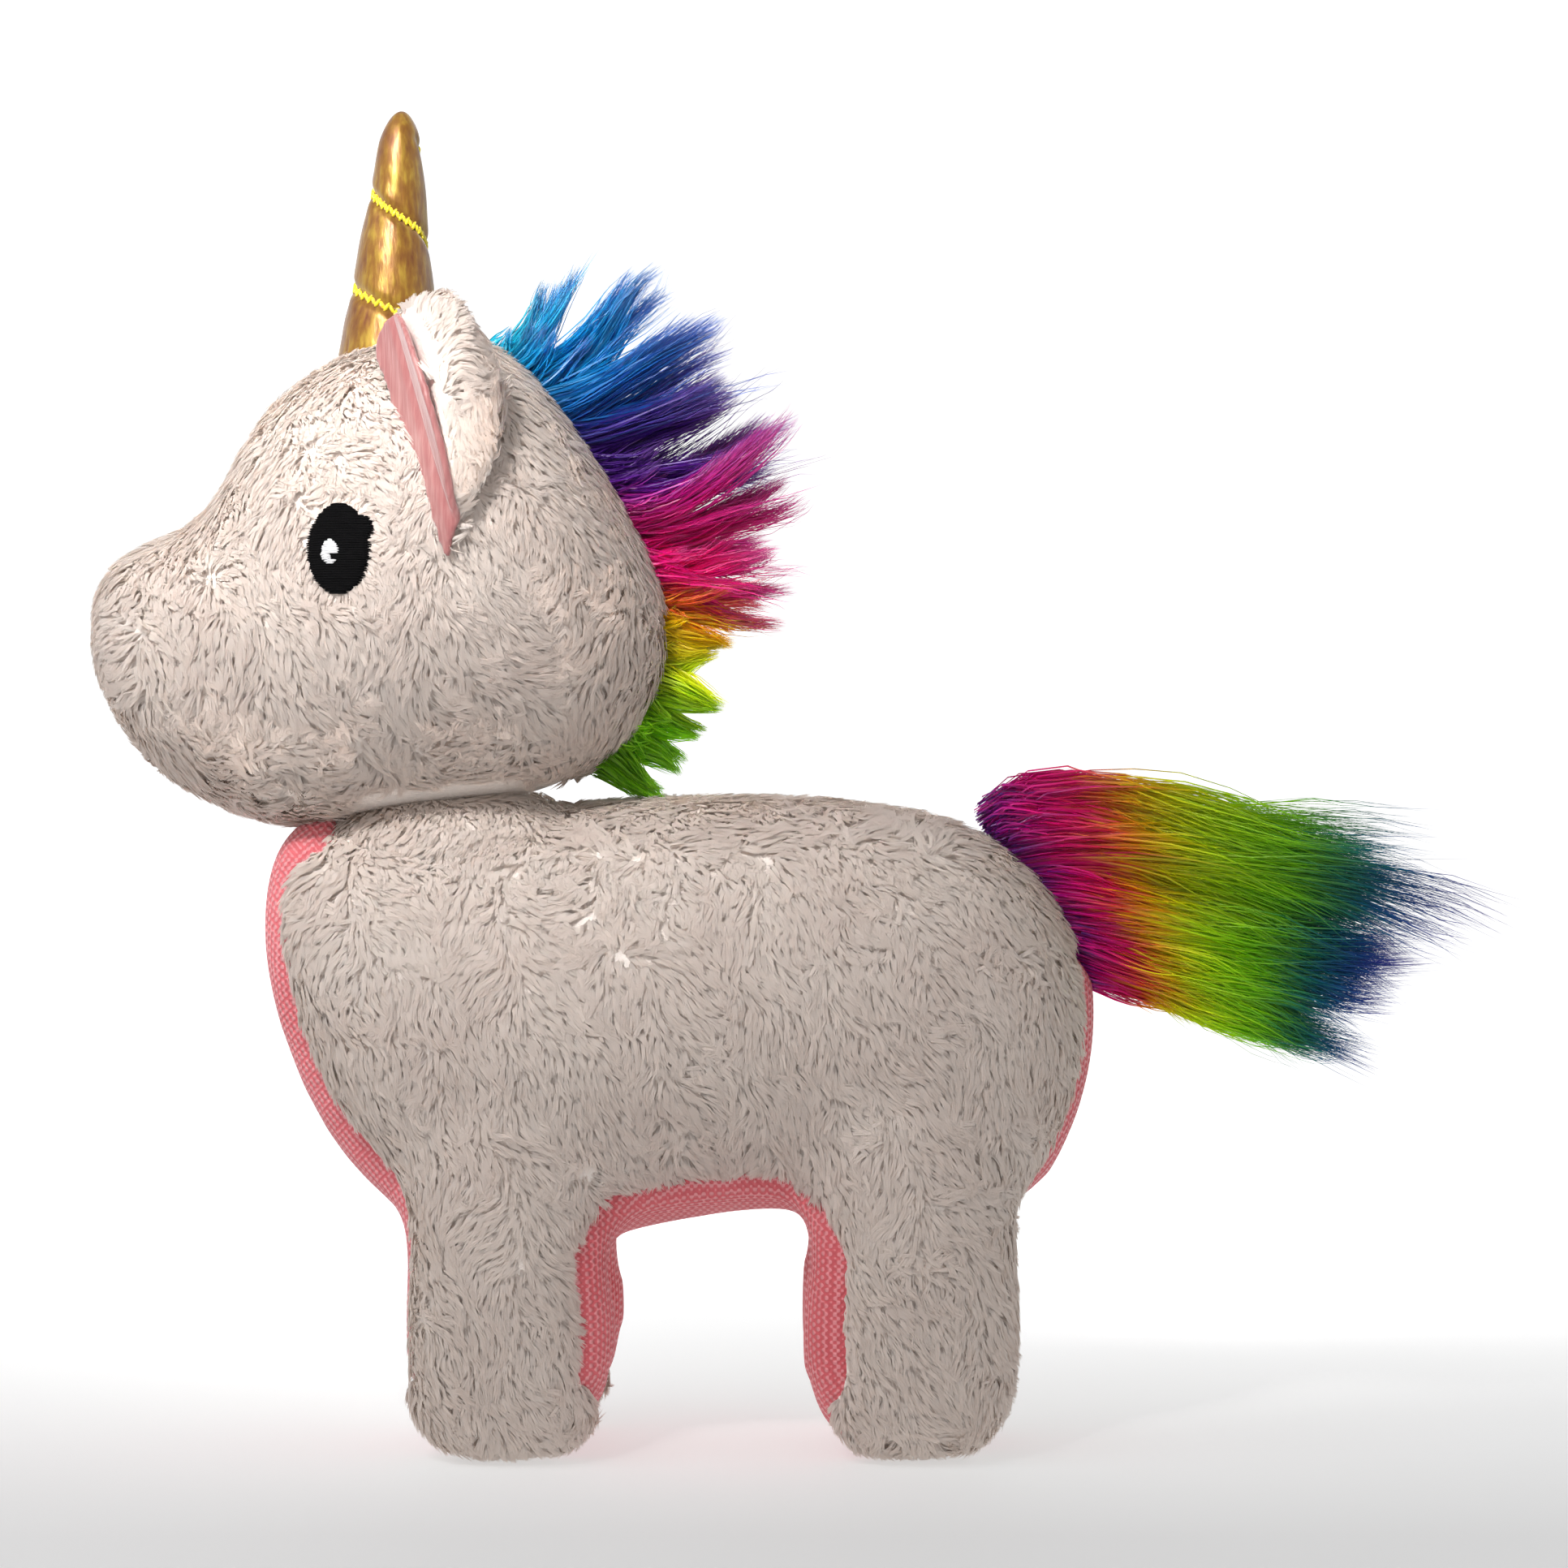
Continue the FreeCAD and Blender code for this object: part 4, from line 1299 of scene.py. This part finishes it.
def backing_strip(name, rows, colour, body, nodes):
    """The dyed knitted cloth that long pile grows from, as a sheet through rows (n, k, 3)."""
    points = rows.reshape(-1, 3)
    strip = new_object(name, points, sheet_quads(rows), PILE_BACKING)
    # Painted shade: the cloth takes 0.7 of the pile's colour, darker where it lies under the pile.
    store_tint(strip, colour(points) * 0.7)
    thick = strip.modifiers.new("thick", "SOLIDIFY")
    thick.thickness = 0.5 * MM
    evaluated(strip)
    attach(strip, body, "pile_backing", *nodes)


TAIL_HIGH = np.array([0.0, 38.5, 118.5])
TAIL_LOW = np.array([0.0, 57.2, 88.5])
# Share of the lock's length, then colour
TAIL_TINTS = dye([
    (0.0, 96, 14, 130), (0.025, 180, 0, 142), (0.06, 230, 0, 144), (0.13, 232, 0, 124),
    (0.17, 232, 60, 50), (0.20, 242, 160, 20), (0.25, 240, 214, 0), (0.33, 214, 234, 0),
    (0.46, 164, 226, 10), (0.55, 120, 206, 20), (0.59, 10, 140, 96), (0.66, 0, 116, 140),
    (0.73, 20, 82, 166), (0.82, 50, 50, 156), (0.92, 96, 78, 172), (1.0, 124, 110, 184),
])
# (place along the seam, length, start way y, start way z, end way y, end way z, colours' share of the length)
TAIL_SHAPE = [
    (0.0, 90.0, 0.6, 1.0, 1.0, -0.3, 0.76), (0.25, 92.0, 1.0, 0.35, 1.0, -0.25, 0.9),
    (0.5, 84.0, 1.0, 0.0, 1.0, -0.24, 1.0), (0.75, 71.0, 1.0, -0.2, 1.0, -0.28, 0.95),
    (1.0, 54.0, 1.0, -0.35, 1.0, -0.47, 0.78),
]


def tail_locks(along, in_group, spread, fibres, stretch, rng):
    count = len(along)
    stretch = rng.uniform(*stretch, count)
    group = np.arange(count) // in_group
    groups = group.max() + 1
    shape = blend_rows(TAIL_SHAPE, along)
    side = np.clip(rng.uniform(-1, 1, groups)[group] + rng.uniform(-0.4, 0.4, count), -1, 1)
    root = TAIL_HIGH + (TAIL_LOW - TAIL_HIGH) * along[:, None]
    root[:, 0] = side * 2.2
    jitter = rng.normal(0, 0.085, (groups, 3))[group] + rng.normal(0, 0.015, (count, 3))
    start = np.stack([side * 0.3, shape[:, 1], shape[:, 2]], -1) + jitter * 0.6
    end = np.stack([side * -0.12, shape[:, 3], shape[:, 4]], -1) + jitter
    length = shape[:, 0] * stretch * rng.uniform(0.76, 1.02, groups)[group]
    return locks(root, tips_together(root, group, 0.8), start, end, length, spread, fibres, 0.15, rng)


def make_tail():
    rng = np.random.default_rng(91)
    seam_length = np.linalg.norm(TAIL_LOW - TAIL_HIGH)
    down = (TAIL_LOW - TAIL_HIGH) / seam_length
    back = np.array([0.0, -down[2], down[1]])
    even = (np.arange(54) + rng.uniform(0.1, 0.9, 54)) / 54
    under = (np.arange(90) + rng.random(90)) / 90
    groups = [
        tail_locks(even, 3, 2.0, 230, (0.9, 1.04), rng),
        tail_locks(rng.random(40), 1, 0.6, 24, (0.85, 1.04), rng),
        tail_locks(under, 1, 2.1, 80, (0.25, 0.6), rng),
    ]

    def tint_at(lines):
        shape = blend_rows(TAIL_SHAPE, (lines[:, 0] - TAIL_HIGH) @ down / seam_length)
        step = np.linalg.norm(np.diff(lines, axis=1), axis=2)
        path = np.hstack([np.zeros((len(lines), 1)), np.cumsum(step, axis=1)])
        share = path / shape[:, :1] * shape[:, 5:] + rng.normal(0, 0.018, (len(lines), 1))
        return blend_rows(TAIL_TINTS, share.ravel()).reshape(*share.shape, 3)

    make_pile("tail_pile_locks", groups, tint_at, rng, "tail", "tail_pile")
    seam = np.linspace(0.04, 0.96, 24)[:, None, None]
    out = np.linspace(-1.0, 14.0, 16)[None, :, None]
    rows = TAIL_HIGH + (TAIL_LOW - TAIL_HIGH) * seam + back * out
    backing_strip("tail_backing_cloth", rows, lambda p: blend_rows(TAIL_TINTS, (p - TAIL_HIGH) @ back / 90.0),
                  "tail", ["tail_backing", "tail_root"])


def make_floor():
    """A flat round floor whose rim curves up into a wall."""
    bend = 700.0
    rise = np.linspace(0.0, math.pi / 2, 14)
    reach = np.concatenate([[0.0, 400.0, 800.0], 1500.0 + bend * np.sin(rise), [1500.0 + bend]])
    height = np.concatenate([[0.0, 0.0, 0.0], bend - bend * np.cos(rise), [2200.0]])
    turn = np.linspace(0, 2 * np.pi, 65)
    rows = np.stack([np.outer(reach, np.cos(turn)), np.outer(reach, np.sin(turn)),
                     np.repeat(height[:, None], len(turn), axis=1)], -1)
    floor = new_object("studio_floor", rows.reshape(-1, 3), sheet_quads(rows)[:, ::-1], floor_material())


make_camera()
make_lights()
make_floor()
make_body()
HEAD_SKIN = make_head()
make_neck()
make_eyes(HEAD_SKIN)
make_horn()
make_ear("left")
make_ear("right")
make_mane(HEAD_SKIN)
make_tail()


def plain(bounds):
    return [[float(v) for v in corner] for corner in bounds]
